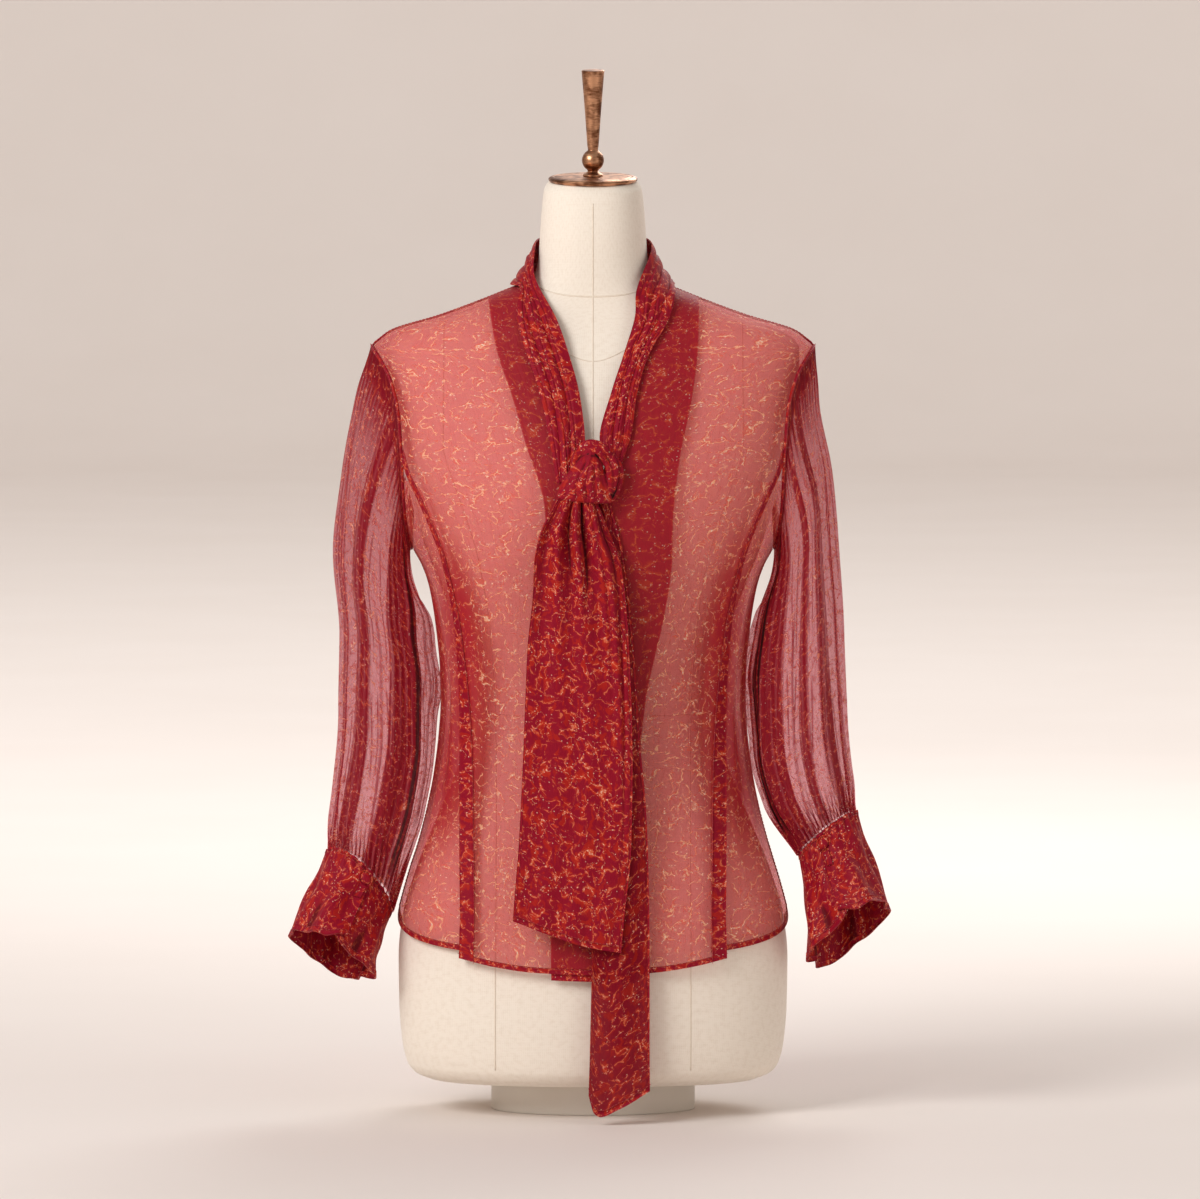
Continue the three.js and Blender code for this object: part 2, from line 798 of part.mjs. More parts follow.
function backOuterTurn(z) {
  return z > UNDERARM && z < SHOULDER_TIP ? armholeTurn(z, shirt.back) : 90;
}

function back() {
  const surface = (u, v) => {
    const level = heightAt(backHeights, v);
    const outer = backOuterTurn(level);
    const turn = lerp(outer, 360 - outer, u);
    const fromFront = turn > 180 ? 360 - turn : turn;
    const z = alongHem(level, backHeights[0], hem.back(fromFront));
    return apart(shirtPoint(turn, z), true);
  };
  return piece("back", clothWall(surface, 24, backHeights.length - 1, CLOTH), "cloth");
}

function facing(name, side, facingEdge) {
  const inset = (CLOTH + FACING) / 2 + FACING_GAP;
  const surface = (u, v) => {
    const level = heightAt(bodyHeights, v);
    const { inner, middle } = frontTurns(level, facingEdge);
    const turn = lerp(inner, middle, u);
    const z = alongHem(level, bodyHeights[0], hem.centre(turn) - FACING_BELOW_HEM);
    return apart(shirtPoint(side * turn, z, centreLift(z) - inset), false);
  };
  const rows = bodyHeights.length - 1;
  return piece(name, clothWall(surface, FACING_COLUMNS, rows, FACING), "doubled");
}

// Sleeves and cuffs
const sectionColumns = CUFF_COLUMNS.split(" ");

function sectionAt(rows, s) {
  return Object.fromEntries(
    sectionColumns.map((column) => [column, profile(rows, column, "s")(s)]),
  );
}

// A point of an oval section: 0 at its outer edge, 90 at its front edge.
function sectionPoint(section, side, angle) {
  const out = Math.cos(radians(angle));
  const fore = Math.sin(radians(angle));
  return new THREE.Vector3(
    side * (section.midX + out * section.outX + fore * section.foreX),
    section.midY + fore * section.foreY,
    section.midZ + out * section.outZ + fore * section.foreZ,
  );
}

function sleeveFoldHeight(s, angle) {
  const gather = 0.3 + 0.7 * smoothstep(s, 0, 0.35) - 0.7 * smoothstep(s, 0.88, 1);
  const uneven = 0.75 + 0.25 * Math.sin(radians(2 * angle) + 3 * s);
  const folds = Math.cos(radians(SLEEVE_FOLDS * angle) + 0.9 * Math.sin(radians(angle)) + 1.2 * s);
  const slow = Math.cos(radians(SLEEVE_SLOW_FOLDS * angle) + 2 * s);
  return gather * (SLEEVE_FOLD_DEPTH * uneven * folds + SLEEVE_SLOW_DEPTH * slow);
}

// The armhole's edge, by the angle round it.
function armholePoint(side, angle) {
  const z = ARMHOLE_MIDDLE + ARMHOLE_RISE * Math.cos(radians(angle));
  const front = Math.sin(radians(angle)) >= 0;
  const turn = armholeTurn(z, front ? shirt.front : shirt.back);
  const point = shirtPoint(side * turn, z);
  point.x += side * SLEEVE_TO_BODY;
  return point;
}

function sleeve(name, side, rows) {
  const columns = sectionColumns.map((column) => [column, profile(rows, column, "s")]);
  const sectionOf = (s) => Object.fromEntries(columns.map(([column, curve]) => [column, curve(s)]));
  const first = sectionOf(0);
  const last = sectionOf(1);
  const axis = new THREE.Vector3(side * last.outX, 0, last.outZ)
    .cross(new THREE.Vector3(side * last.foreX, last.foreY, last.foreZ))
    .multiplyScalar(-side)
    .normalize();
  if (axis.z < 0) axis.negate();
  const smooth = (s, angle) => {
    const head = 1 - smoothstep(s, 0, 0.3);
    const toArmhole = armholePoint(side, angle).sub(sectionPoint(first, side, angle));
    const point = sectionPoint(sectionOf(s), side, angle).addScaledVector(toArmhole, head);
    return point.addScaledVector(axis, SLEEVE_TO_CUFF * smoothstep(s, 0.9, 1));
  };
  const surface = (u, v) => {
    const angle = 360 * u;
    const step = 1.5;
    const round = smooth(v, angle + step).sub(smooth(v, angle - step));
    const down = smooth(Math.min(1, v + 0.01), angle).sub(smooth(Math.max(0, v - 0.01), angle));
    const normal = down.cross(round).normalize().multiplyScalar(side);
    const headFade = smoothstep(v, 0, 0.08);
    const point = smooth(v, angle);
    return point.addScaledVector(normal, sleeveFoldHeight(v, angle) * headFade);
  };
  return piece(name, clothWall(surface, 40, 10, CLOTH, true), "cloth");
}

function cuffSurface(side, seam, edge, fluteShift) {
  return (u, v) => {
    const angle = CUFF_START + (360 + CUFF_LAP) * u;
    const nearEnd = Math.min(u, 1 - u);
    const reach = 1 - CUFF_CORNER * (1 - smoothstep(nearEnd, 0, 0.07));
    const along = v * reach;
    const flare = along ** 1.25;
    const section = Object.fromEntries(
      sectionColumns.map((column) => {
        const share = column.startsWith("mid") ? along : flare;
        return [column, lerp(seam[column], edge[column], share)];
      }),
    );
    const point = sectionPoint(section, side, angle);
    const middle = new THREE.Vector3(side * section.midX, section.midY, section.midZ);
    const outward = point.clone().sub(middle).normalize();
    const flute =
      CUFF_FLUTE_DEPTH * along * along * Math.cos(radians(CUFF_FLUTES * angle + fluteShift));
    return point.addScaledVector(outward, flute + CUFF_SPREAD * (u - 0.5));
  };
}

function coveredButton(name, surface) {
  const u = 1 - 0.02;
  const { radius, height, edge, place } = BUTTON;
  const centre = surface(u, place);
  const round = surface(u + 0.01, place).sub(surface(u - 0.01, place));
  const down = surface(u, place + 0.05).sub(surface(u, place - 0.05));
  const across = centre.clone().sub(surface(u - 180 / (360 + CUFF_LAP), place));
  const outward = down.cross(round).normalize();
  if (outward.dot(across) < 0) outward.negate();
  const outline = [
    [0, 0],
    [radius * 0.8, 0],
    [radius, edge],
    [radius * 0.93, edge + 1.1],
    [radius * 0.68, edge + 2.2],
    [radius * 0.35, height - 0.2],
    [0, height],
  ];
  const button = piece(name, new THREE.LatheGeometry(latheProfile(outline), 12), "doubled");
  button.quaternion.setFromUnitVectors(new THREE.Vector3(0, 1, 0), outward);
  button.position.copy(centre).addScaledVector(outward, CUFF_CLOTH / 2 + SEAM + 0.15);
  return button;
}

function cuff(name, side, rows, edge, fluteShift) {
  const surface = cuffSurface(side, sectionAt(rows, 1), edge, fluteShift);
  return [
    piece(name, clothWall(surface, 36, 4, CUFF_CLOTH), "doubled"),
    coveredButton(name + "_button", surface),
  ];
}

// Tie collar, knot and ends
function chestPoint(side, x, z) {
  return shirtPoint(side * turnAtX(shirt, x, z), z, COLLAR_LIFT + centreLift(z) + neckEase(z));
}

function neckPoint(turn, z) {
  return ringPoint(collar, turn, z);
}

// The two edges of the neck stretch, as curves from the knot round the neck and back to it.
function collarEdges() {
  const onChest = (rows) =>
    rows.map(({ side, innerX, innerZ, outerX, outerZ }) => ({
      inner: chestPoint(side, innerX, innerZ),
      outer: chestPoint(side, outerX, outerZ),
    }));
  const onNeck = collarRound.map(({ turn, innerZ, outerZ }) => ({
    inner: neckPoint(turn, innerZ),
    outer: neckPoint(turn, outerZ),
  }));
  const stations = [...onChest(collarFront), ...onNeck, ...onChest(collarFrontLeft)];
  const curve = (edge) => {
    const places = stations.map((station) => station[edge]);
    return new THREE.CatmullRomCurve3(places, false, "centripetal");
  };
  return { inner: curve("inner"), outer: curve("outer") };
}

function collarSurface() {
  const { inner, outer } = collarEdges();
  const flat = (u, v) => inner.getPoint(v).lerp(outer.getPoint(v), u);
  return (u, v) => {
    const step = 0.004;
    const across = outer.getPoint(v).sub(inner.getPoint(v));
    const along = flat(u, Math.min(1, v + step)).sub(flat(u, Math.max(0, v - step)));
    const normal = across.clone().cross(along).normalize();
    const arch = Math.sin(Math.PI * u);
    const high = lerp(COLLAR_ARCH, COLLAR_NECK_ARCH, Math.sin(Math.PI * v) ** 2);
    const deep = COLLAR_ROLL_DEPTH * Math.min(1, across.length() / COLLAR_WIDTH) ** 2;
    const rolls = Math.cos(2 * Math.PI * COLLAR_ROLLS * u + 2.2 * Math.sin(9 * v));
    const lift = high * arch + deep * rolls * Math.sqrt(arch);
    return flat(u, v).addScaledVector(normal, -lift);
  };
}

function tieEndSurface(rows, hemRows, folds) {
  const left = profile(rows, "left");
  const right = profile(rows, "right");
  const depth = profile(rows, "y");
  const fold = profile(rows, "fold");
  const foot = profile(hemRows, "z", "u");
  return (u, v) => {
    const eased = v ** 0.85;
    const z = lerp(TIE_TOP, foot(u), eased);
    const wave = Math.cos(2 * Math.PI * folds * u + 1.1 * Math.sin(z / 70));
    const bow = TIE_BOW * Math.sin(Math.PI * u);
    return new THREE.Vector3(lerp(left(z), right(z), u), depth(z) - bow - fold(z) * wave, z);
  };
}

function knotBand() {
  const sides = 26;
  const rings = knotRows.map(({ z, midX, half, midY, depth }) =>
    Array.from({ length: sides }, (_, i) => {
      const angle = (2 * Math.PI * i) / sides;
      const pleat = KNOT_PLEAT_DEPTH * Math.cos(KNOT_PLEATS * angle + z / 6);
      return new THREE.Vector3(
        midX + (half + pleat) * Math.cos(angle),
        midY + (depth + pleat) * Math.sin(angle),
        z,
      );
    }),
  );
  return solidOf(loft(rings));
}

function knotRoll({ radius, points }) {
  const route = new THREE.CatmullRomCurve3(points.map((p) => new THREE.Vector3(...p)));
  const section = new THREE.Shape().absarc(0, 0, radius, 0, 2 * Math.PI);
  const options = { steps: 6, extrudePath: route, curveSegments: 4 };
  return solidOf(new THREE.ExtrudeGeometry(section, options));
}

function tieCollar() {
  const neck = { surface: collarSurface(), across: 11, along: 34, endsDown: true };
  const wide = {
    surface: tieEndSurface(wideEndRows, wideHemRows, WIDE_FOLDS),
    across: 14,
    along: 12,
  };
  const long = {
    surface: tieEndSurface(longEndRows, longHemRows, LONG_FOLDS),
    across: 6,
    along: 12,
  };
  const wall = ({ surface, across, along }, thickness) =>
    clothWall(surface, across, along, thickness);
  const tied = knotRolls.reduce((knot, roll) => knot.add(knotRoll(roll)), knotBand());
  const clear = [neck, wide, long].reduce((knot, stretch) => {
    const room = solidOf(wall(stretch, DOUBLED + 2 * KNOT_ROOM));
    const beyondEnd = stretch.endsDown ? -KNOT_ROOM : KNOT_ROOM;
    return knot.subtract(room).subtract(room.translate([0, 0, beyondEnd]));
  }, tied);
  const parts = clear.decompose().sort((a, b) => b.volume() - a.volume());
  return [
    piece("collar_neck", wall(neck, DOUBLED), "doubled"),
    piece("collar_knot", geometryOfSolid(parts[0]), "doubled"),
    piece("tie_end_wide", wall(wide, DOUBLED), "doubled"),
    piece("tie_end_long", wall(long, DOUBLED), "doubled"),
  ];
}

const group = new THREE.Group();
group.add(
  formBody(),
  metalTop(),
  plinth(),
  centreFront("centre_front_right", -1, facingEdges.right),
  centreFront("centre_front_left", 1, facingEdges.left),
  sideFront("side_front_right", -1),
  sideFront("side_front_left", 1),
  back(),
  facing("facing_right", -1, facingEdges.right),
  facing("facing_left", 1, facingEdges.left),
  sleeve("sleeve_right", -1, rightSleeveRows),
  sleeve("sleeve_left", 1, leftSleeveRows),
  ...cuff("cuff_right", -1, rightSleeveRows, rightCuffHem, 40),
  ...cuff("cuff_left", 1, leftSleeveRows, leftCuffHem, 100),
  ...tieCollar(),
);

export default group;
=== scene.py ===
"""A sheer bow blouse with a long tie collar, worn on a limbless dress form.

The cloth is laid as thin sheets and shells over the forms that the part's solids hold, with its finer
folds, rolled hems, seams, stitches, gathered knot and printed weave. Sizes are in millimetres until a
mesh is made, which is in metres. "Turn" is the angle round the body in degrees, 0 at centre front and
90 at the +X side seam.
"""
import json
import logging
import math
from dataclasses import dataclass, field
from enum import Enum
from typing import Callable, Mapping, Sequence

import bmesh
import bpy
import numpy as np
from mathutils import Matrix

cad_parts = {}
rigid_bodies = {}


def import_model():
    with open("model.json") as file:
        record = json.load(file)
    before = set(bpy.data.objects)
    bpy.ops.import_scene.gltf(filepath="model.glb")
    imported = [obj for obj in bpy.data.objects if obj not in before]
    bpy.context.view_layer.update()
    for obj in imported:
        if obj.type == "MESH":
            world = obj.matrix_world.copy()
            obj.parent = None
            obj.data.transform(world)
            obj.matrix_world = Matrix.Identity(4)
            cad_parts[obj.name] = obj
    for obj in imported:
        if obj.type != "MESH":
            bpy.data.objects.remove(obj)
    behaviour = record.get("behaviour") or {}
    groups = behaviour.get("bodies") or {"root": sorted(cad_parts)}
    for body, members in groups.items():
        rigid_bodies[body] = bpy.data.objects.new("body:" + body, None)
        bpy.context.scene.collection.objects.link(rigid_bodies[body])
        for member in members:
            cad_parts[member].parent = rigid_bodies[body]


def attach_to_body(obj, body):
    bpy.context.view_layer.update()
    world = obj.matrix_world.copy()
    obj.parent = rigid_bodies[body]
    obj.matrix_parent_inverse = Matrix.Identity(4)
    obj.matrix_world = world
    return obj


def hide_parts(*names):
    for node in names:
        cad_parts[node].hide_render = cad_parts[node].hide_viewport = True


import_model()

Array = np.ndarray
Surface = Callable[[Array, Array], Array]
Piece = bpy.types.Object
Material = bpy.types.Material
Tree = bpy.types.NodeTree
Socket = bpy.types.NodeSocket

MM = 0.001
BODY = "root"
log = logging.getLogger("bow_blouse")

# Cloth and seams
CLOTH = 1.2
FACING = 1.0
LAP_GAP = 1.5
FACING_GAP = 0.55
NECK_EASE = 1.6
SIDE_SEAM = 0.5
HEM_ROLL = 5.0

# Heights that the pieces share
NECK_TOP = 837.0
NECKLINE = 742.0
SHOULDER_TIP = 689.0
UNDERARM = 509.0
PRINCESS_TOP = 600.0
TIE_TOP = 562.0
FORM_WAIST = 362.0
SQUARENESS = 2.3
HEM_FADE = 120.0
FACING_BELOW_HEM = 6.0

# Armhole
ARMHOLE_MIDDLE = (SHOULDER_TIP + UNDERARM) / 2
ARMHOLE_RISE = (SHOULDER_TIP - UNDERARM) / 2
ARMHOLE_REACH = 60.0
ARMHOLE_OUT = 2.4


class Side(Enum):
    """The wearer's side that a piece belongs to, as the sign of its X."""

    RIGHT = -1
    LEFT = 1


class Edge(Enum):
    """One edge of a cloth grid: across it runs u, up it runs v."""

    FOOT = "foot"
    HEAD = "head"
    START = "start"
    END = "end"


class PrintSpace(Enum):
    """Where a print takes its place from: the cloth's own flat cut, or upright on the object."""

    CUT = "cut"
    UPRIGHT = "upright"


# Curves and tables


class Curve:
    """A smooth curve through a table's column that makes no new highs or lows between rows."""

    def __init__(self, at: Array, value: Array) -> None:
        """Works out the slope at each row.

        Args:
            at: Places of the rows, rising.
            value: The value at each row.
        """
        self.at = np.asarray(at, float)
        self.value = np.asarray(value, float)
        secant = np.diff(self.value) / np.diff(self.at)
        slope = np.zeros_like(self.value)
        slope[0], slope[-1] = secant[0], secant[-1]
        before, after = secant[:-1], secant[1:]
        same = before * after > 0
        total = np.where(same, before + after, 1.0)
        slope[1:-1] = np.where(same, 2 * before * after / total, 0.0)
        self.slope = slope

    def __call__(self, x: Array | float) -> Array:
        """The curve's value at each x."""
        x = np.clip(np.asarray(x, float), self.at[0], self.at[-1])
        i = np.clip(np.searchsorted(self.at, x, side="right") - 1, 0, len(self.at) - 2)
        span = self.at[i + 1] - self.at[i]
        t = (x - self.at[i]) / span
        rest = 1 - t
        return (
            self.value[i] * (1 + 2 * t) * rest * rest
            + self.slope[i] * span * t * rest * rest
            + self.value[i + 1] * t * t * (3 - 2 * t)
            - self.slope[i + 1] * span * t * t * rest
        )


class Table:
    """Rows of numbers with named columns."""

    def __init__(self, columns: str, rows: Sequence[Sequence[float]]) -> None:
        """Keeps each column by its name.

        Args:
            columns: The columns' names, with spaces between.
            rows: The rows of numbers.
        """
        self.names = columns.split()
        self.columns = dict(zip(self.names, np.array(rows, float).T))

    def __getitem__(self, name: str) -> Array:
        """One column."""
        return self.columns[name]

    def curve(self, column: str, key: str = "z") -> Curve:
        """A smooth curve through one column, against another."""
        return Curve(self.columns[key], self.columns[column])

    def rows(self) -> list[dict[str, float]]:
        """The rows, each with its columns' names."""
        return [dict(zip(self.names, row)) for row in np.array(list(self.columns.values())).T]


class RoundedPath:
    """A centripetal curve through points, taken at equal shares of its stretches."""

    def __init__(self, points: Sequence[Sequence[float]] | Array) -> None:
        """Adds a mirrored point beyond each end.

        Args:
            points: The points that the path goes through.
        """
        p = np.asarray(points, float)
        self.points = np.vstack([2 * p[0] - p[1], p, 2 * p[-1] - p[-2]])
        self.stretches = len(p) - 1

    def __call__(self, t: Array) -> Array:
        """Points of the path, t from 0 to 1."""
        place = np.asarray(t, float) * self.stretches
        i = np.clip(np.floor(place).astype(int), 0, self.stretches - 1)
        w = (place - i)[..., None]
        p0, p1, p2, p3 = (self.points[i + k] for k in range(4))
        d0, d1, d2 = (
            np.sqrt(np.maximum(np.linalg.norm(b - a, axis=-1, keepdims=True), 1e-6))
            for a, b in ((p0, p1), (p1, p2), (p2, p3))
        )
        t1 = ((p1 - p0) / d0 - (p2 - p0) / (d0 + d1) + (p2 - p1) / d1) * d1
        t2 = ((p2 - p1) / d1 - (p3 - p1) / (d1 + d2) + (p3 - p2) / d2) * d1
        c2 = -3 * p1 + 3 * p2 - 2 * t1 - t2
        c3 = 2 * p1 - 2 * p2 + t1 + t2
        return p1 + t1 * w + c2 * w**2 + c3 * w**3


def smoothstep(x: Array | float, low: float, high: float) -> Array:
    """Eases from 0 at low to 1 at high."""
    t = np.clip((np.asarray(x, float) - low) / (high - low), 0, 1)
    return t * t * (3 - 2 * t)


def lerp(a: Array | float, b: Array | float, t: Array | float) -> Array:
    """Goes straight from a to b."""
    return a + (b - a) * t


def sin_deg(angle: Array | float) -> Array:
    """Sine of an angle in degrees."""
    return np.sin(np.radians(angle))


def cos_deg(angle: Array | float) -> Array:
    """Cosine of an angle in degrees."""
    return np.cos(np.radians(angle))


def unit(vectors: Array) -> Array:
    """Vectors of length 1."""
    return vectors / np.maximum(np.linalg.norm(vectors, axis=-1, keepdims=True), 1e-9)


def wrapped(degrees: Array) -> Array:
    """Angles brought between -180 and 180 degrees."""
    return (degrees + 180) % 360 - 180


def grid_of(columns: int, rows: int, closed: bool = False) -> tuple[Array, Array]:
    """Even shares across and along a grid.

    Args:
        columns: Steps across.
        rows: Steps along.
        closed: True where the last column meets the first.

    Returns:
        The two arrays u and v, rows first.
    """
    u = np.arange(columns) / columns if closed else np.linspace(0, 1, columns + 1)
    return np.meshgrid(u, np.linspace(0, 1, rows + 1))


# Meshes


def mesh_piece(
    name: str,
    points: Array,
    faces: Sequence[Sequence[int]] | Array,
    material: Material,
    uv: Array | None = None,
    fold: Array | None = None,
) -> Piece:
    """Makes one object from points in millimetres.

    Args:
        name: The object's name.
        points: Points, one row each.
        faces: Point numbers of each face.
        material: The finish.
        uv: Place on the flat cut of each face corner, in metres.
        fold: How many layers lie on each other at each point, 0 for one and 1 for a full stack; where it
            comes from hollows, and above 1, it stands for painted shade in folds and gaps.

    Returns:
        The object, linked to the scene.
    """
    mesh = bpy.data.meshes.new(name)
    faces = faces.tolist() if isinstance(faces, np.ndarray) else faces
    mesh.from_pydata((np.asarray(points) * MM).tolist(), [], faces)
    mesh.polygons.foreach_set("use_smooth", [True] * len(mesh.polygons))
    if uv is not None:
        layer = mesh.uv_layers.new(name="cut")
        layer.data.foreach_set("uv", np.asarray(uv, float).reshape(-1))
    # The layers attribute holds stacked layers and painted shade in folds and gaps; the material darkens the
    # colour by it
    layers = mesh.attributes.new("layers", "FLOAT", "POINT")
    values = np.zeros(len(points)) if fold is None else np.asarray(fold, float).reshape(-1)
    layers.data.foreach_set("value", values)
    mesh.materials.append(material)
    mesh.update()
    piece = bpy.data.objects.new(name, mesh)
    bpy.context.scene.collection.objects.link(piece)
    return piece


@dataclass
class Grid:
    """A grid of cloth points, rows first, and how far its layers stack at each, or how deep painted shade
    lies.
    """

    points: Array
    closed: bool = False
    fold: Array | None = None

    def normals(self) -> Array:
        """Directions that point out of the cloth's right side."""
        p = self.points
        up = np.gradient(p, axis=0)
        across = (np.roll(p, -1, 1) - np.roll(p, 1, 1)) if self.closed else np.gradient(p, axis=1)
        return unit(np.cross(across, up))

    def facing_from(self, inside: Array | Sequence[float]) -> "Grid":
        """Turns the right side away from a point or points inside.

        Args:
            inside: One point, or one for each grid point.

        Returns:
            The same grid, or a mirrored one.
        """
        away = self.points - np.asarray(inside, float)
        if np.mean(np.sum(self.normals() * away, axis=-1)) >= 0:
            return self
        fold = None if self.fold is None else self.fold[:, ::-1]
        return Grid(self.points[:, ::-1], self.closed, fold)

    def layout(self) -> tuple[Array, Array]:
        """Each point's number and its place on the flat cut, in metres.

        Returns:
            Both in rows, with the first column once more at the end where the grid is closed.
        """
        rows, columns = self.points.shape[:2]
        number = np.arange(rows * columns).reshape(rows, columns)
        ring = self.points
        if self.closed:
            number = np.append(number, number[:, :1], axis=1)
            ring = np.append(ring, ring[:, :1], axis=1)
        across = np.linalg.norm(np.diff(ring, axis=1), axis=-1).mean(axis=0)
        along = np.linalg.norm(np.diff(self.points, axis=0), axis=-1).mean(axis=1)
        places = [np.concatenate([[0], np.cumsum(steps)]) * MM for steps in (across, along)]
        return number, np.stack(np.meshgrid(*places), -1)

    def quads(self) -> tuple[Array, Array]:
        """The faces between rows and columns.

        Returns:
            Point numbers of each face, and the flat place of each corner.
        """
        number, flat = self.layout()
        low, high = slice(None, -1), slice(1, None)
        corners = ((low, low), (low, high), (high, high), (high, low))
        faces = np.stack([number[corner] for corner in corners], -1).reshape(-1, 4)
        return faces, np.stack([flat[corner] for corner in corners], -2).reshape(-1, 4, 2)

    def sheet(self, name: str, material: Material) -> Piece:
        """One open layer of cloth.

        Args:
            name: The object's name.
            material: The finish.

        Returns:
            The object.
        """
        faces, uv = self.quads()
        return mesh_piece(name, self.points.reshape(-1, 3), faces, material, uv, self.fold)

    def shell(self, name: str, thickness: float, material: Material) -> Piece:
        """A closed thin shell with the grid in its middle.

        Args:
            name: The object's name.
            thickness: Wall thickness.
            material: The finish.

        Returns:
            The object.
        """
        half = self.normals() * thickness / 2
        points = np.vstack([(self.points + half).reshape(-1, 3), (self.points - half).reshape(-1, 3)])
        count = len(points) // 2
        number, flat = self.layout()
        rims = [(number[0, ::-1], flat[0, ::-1]), (number[-1], flat[-1])]
        if not self.closed:
            rims += [(number[:, 0], flat[:, 0]), (number[::-1, -1], flat[::-1, -1])]
        front, front_uv = self.quads()
        faces, uv = [front, front[:, ::-1] + count], [front_uv, front_uv[:, ::-1]]
        for line, place in rims:
            a, b = line[:-1], line[1:]
            faces.append(np.stack([a + count, b + count, b, a], -1))
            uv.append(np.stack([place[:-1], place[1:], place[1:], place[:-1]], 1))
        fold = None if self.fold is None else np.tile(self.fold.reshape(-1), 2)
        return mesh_piece(name, points, np.concatenate(faces), material, np.concatenate(uv), fold)

    def moved_out(self, distance: float) -> "Grid":
        """The grid moved out from its right side."""
        return Grid(self.points + self.normals() * distance, self.closed, self.fold)


def hollows(points: Array, out: Array, reach: int, low: float, high: float) -> Array:
    """How deep points lie below their neighbours along a row, for the shade in a fold.

    Args:
        points: Points in rows.
        out: Outward directions.
        reach: Steps to the neighbours.
        low: Depth at which shading starts.
        high: Depth at which it is full.

    Returns:
        0 to 1 for each point.
    """
    middle = (np.roll(points, reach, axis=1) + np.roll(points, -reach, axis=1)) / 2
    depth = ((middle - points) * out).sum(axis=-1)
    depth[:, :reach] = depth[:, -reach:] = 0
    return smoothstep(depth, low, high)


def edge_strip(
    surface: Surface, edge: Edge, width: float, count: int, layers: int, reach: float = 0.3
) -> Array:
    """Points of a strip of even width along one edge of a surface.

    Args:
        surface: The cloth, by u and v.
        edge: The edge that the strip follows.
        width: The strip's width.
        count: Steps along the edge.
        layers: Steps across the strip.
        reach: Share of the surface that is searched for the strip's inner line.

    Returns:
        Points, rows across the strip from the edge inwards.
    """
    run = np.linspace(0, 1, count + 1)
    depth = np.linspace(0, reach, 40)
    across, inward = np.meshgrid(run, depth)
    flip = edge in (Edge.HEAD, Edge.END)
    inner = 1 - inward if flip else inward
    ends = edge in (Edge.START, Edge.END)
    points = surface(inner, across) if ends else surface(across, inner)
    length = np.vstack([np.zeros(count + 1), np.cumsum(np.linalg.norm(np.diff(points, axis=0), axis=-1), 0)])
    wanted = np.linspace(0, width, layers + 1)
    places = np.stack([np.interp(wanted, length[:, i], depth) for i in range(count + 1)], 1)
    places = 1 - places if flip else places
    along = np.tile(run, (layers + 1, 1))
    return surface(places, along) if ends else surface(along, places)


def tube(
    route: Array, out: Array, width: Array | float, thickness: Array | float, sides: int = 10
) -> tuple[Array, list[list[int]]]:
    """A closed rounded tube along a route.

    Args:
        route: Points of the middle line.
        out: The direction of the tube's thickness at each point.
        width: Half width across, at each point or one for all.
        thickness: Half thickness, at each point or one for all.
        sides: Faces round the tube.

    Returns:
        Points and faces.
    """
    along = unit(np.gradient(route, axis=0))
    out = unit(out - along * np.sum(out * along, -1, keepdims=True))
    across = np.cross(along, out)
    count = len(route)
    angle = np.linspace(0, 2 * np.pi, sides, endpoint=False)
    a = np.broadcast_to(np.asarray(width, float), (count,))[:, None, None]
    b = np.broadcast_to(np.asarray(thickness, float), (count,))[:, None, None]
    cosine, sine = np.cos(angle)[None, :, None], np.sin(angle)[None, :, None]
    ring = a * cosine * across[:, None] + b * sine * out[:, None]
    points = (route[:, None] + ring).reshape(-1, 3)
    faces = []
    for j in range(count - 1):
        for i in range(sides):
            k = (i + 1) % sides
            faces.append([j * sides + i, (j + 1) * sides + i, (j + 1) * sides + k, j * sides + k])
    faces.append([i for i in range(sides)])
    faces.append([(count - 1) * sides + i for i in range(sides)][::-1])
    return points, faces


def tube_piece(
    name: str,
    runs: Sequence[tuple[Array, Array, Array | float, Array | float]],
    material: Material,
    sides: int = 10,
) -> Piece:
    """One object of several tubes.

    Args:
        name: The object's name.
        runs: For each tube its route, thickness direction, half width and half thickness.
        material: The finish.
        sides: Faces round each tube.

    Returns:
        The object.
    """
    points: list[Array] = []
    faces: list[list[int]] = []
    uv: list[list[float]] = []
    for route, out, width, thickness in runs:
        start = sum(len(p) for p in points)
        p, f = tube(route, out, width, thickness, sides)
        steps = np.linalg.norm(np.diff(route, axis=0), axis=-1)
        length = np.concatenate([[0], np.cumsum(steps)]) * MM
        round_it = 2 * math.pi * float(np.mean(width)) * MM
        for face in f:
            uv += [[(n % sides) / sides * round_it, length[n // sides]] for n in face]
        points.append(p)
        faces += [[n + start for n in face] for face in f]
    piece = mesh_piece(name, np.vstack(points), faces, material, np.array(uv))
    recalculated(piece)
    return piece


def attach(piece: Piece, slot: str) -> None:
    """Fixes a piece to the object's one body."""
    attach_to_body(piece, BODY)


def recalculated(piece: Piece) -> None:
    """Turns a closed mesh's faces outwards."""
    work = bmesh.new()
    work.from_mesh(piece.data)
    bmesh.ops.recalc_face_normals(work, faces=work.faces)
    work.to_mesh(piece.data)
    work.free()


def capped(
    rings: Array, foot: Array | Sequence[float], head: Array | Sequence[float]
) -> tuple[Array, list[list[int]]]:
    """A closed form of rings of points, a row each, with one point at each end.

    Args:
        rings: The points of each ring.
        foot: The point that closes the first ring.
        head: The point that closes the last ring.

    Returns:
        Points and faces, the faces at the two ends last.
    """
    count, sides = rings.shape[:2]
    faces: list[list[int]] = []
    for j in range(count - 1):
        for i in range(sides):
            k = (i + 1) % sides
            faces.append([j * sides + i, j * sides + k, (j + 1) * sides + k, (j + 1) * sides + i])
    low, high, last = count * sides, count * sides + 1, (count - 1) * sides
    for i in range(sides):
        k = (i + 1) % sides
        faces += [[low, k, i], [high, last + i, last + k]]
    return np.vstack([rings.reshape(-1, 3), foot, head]), faces


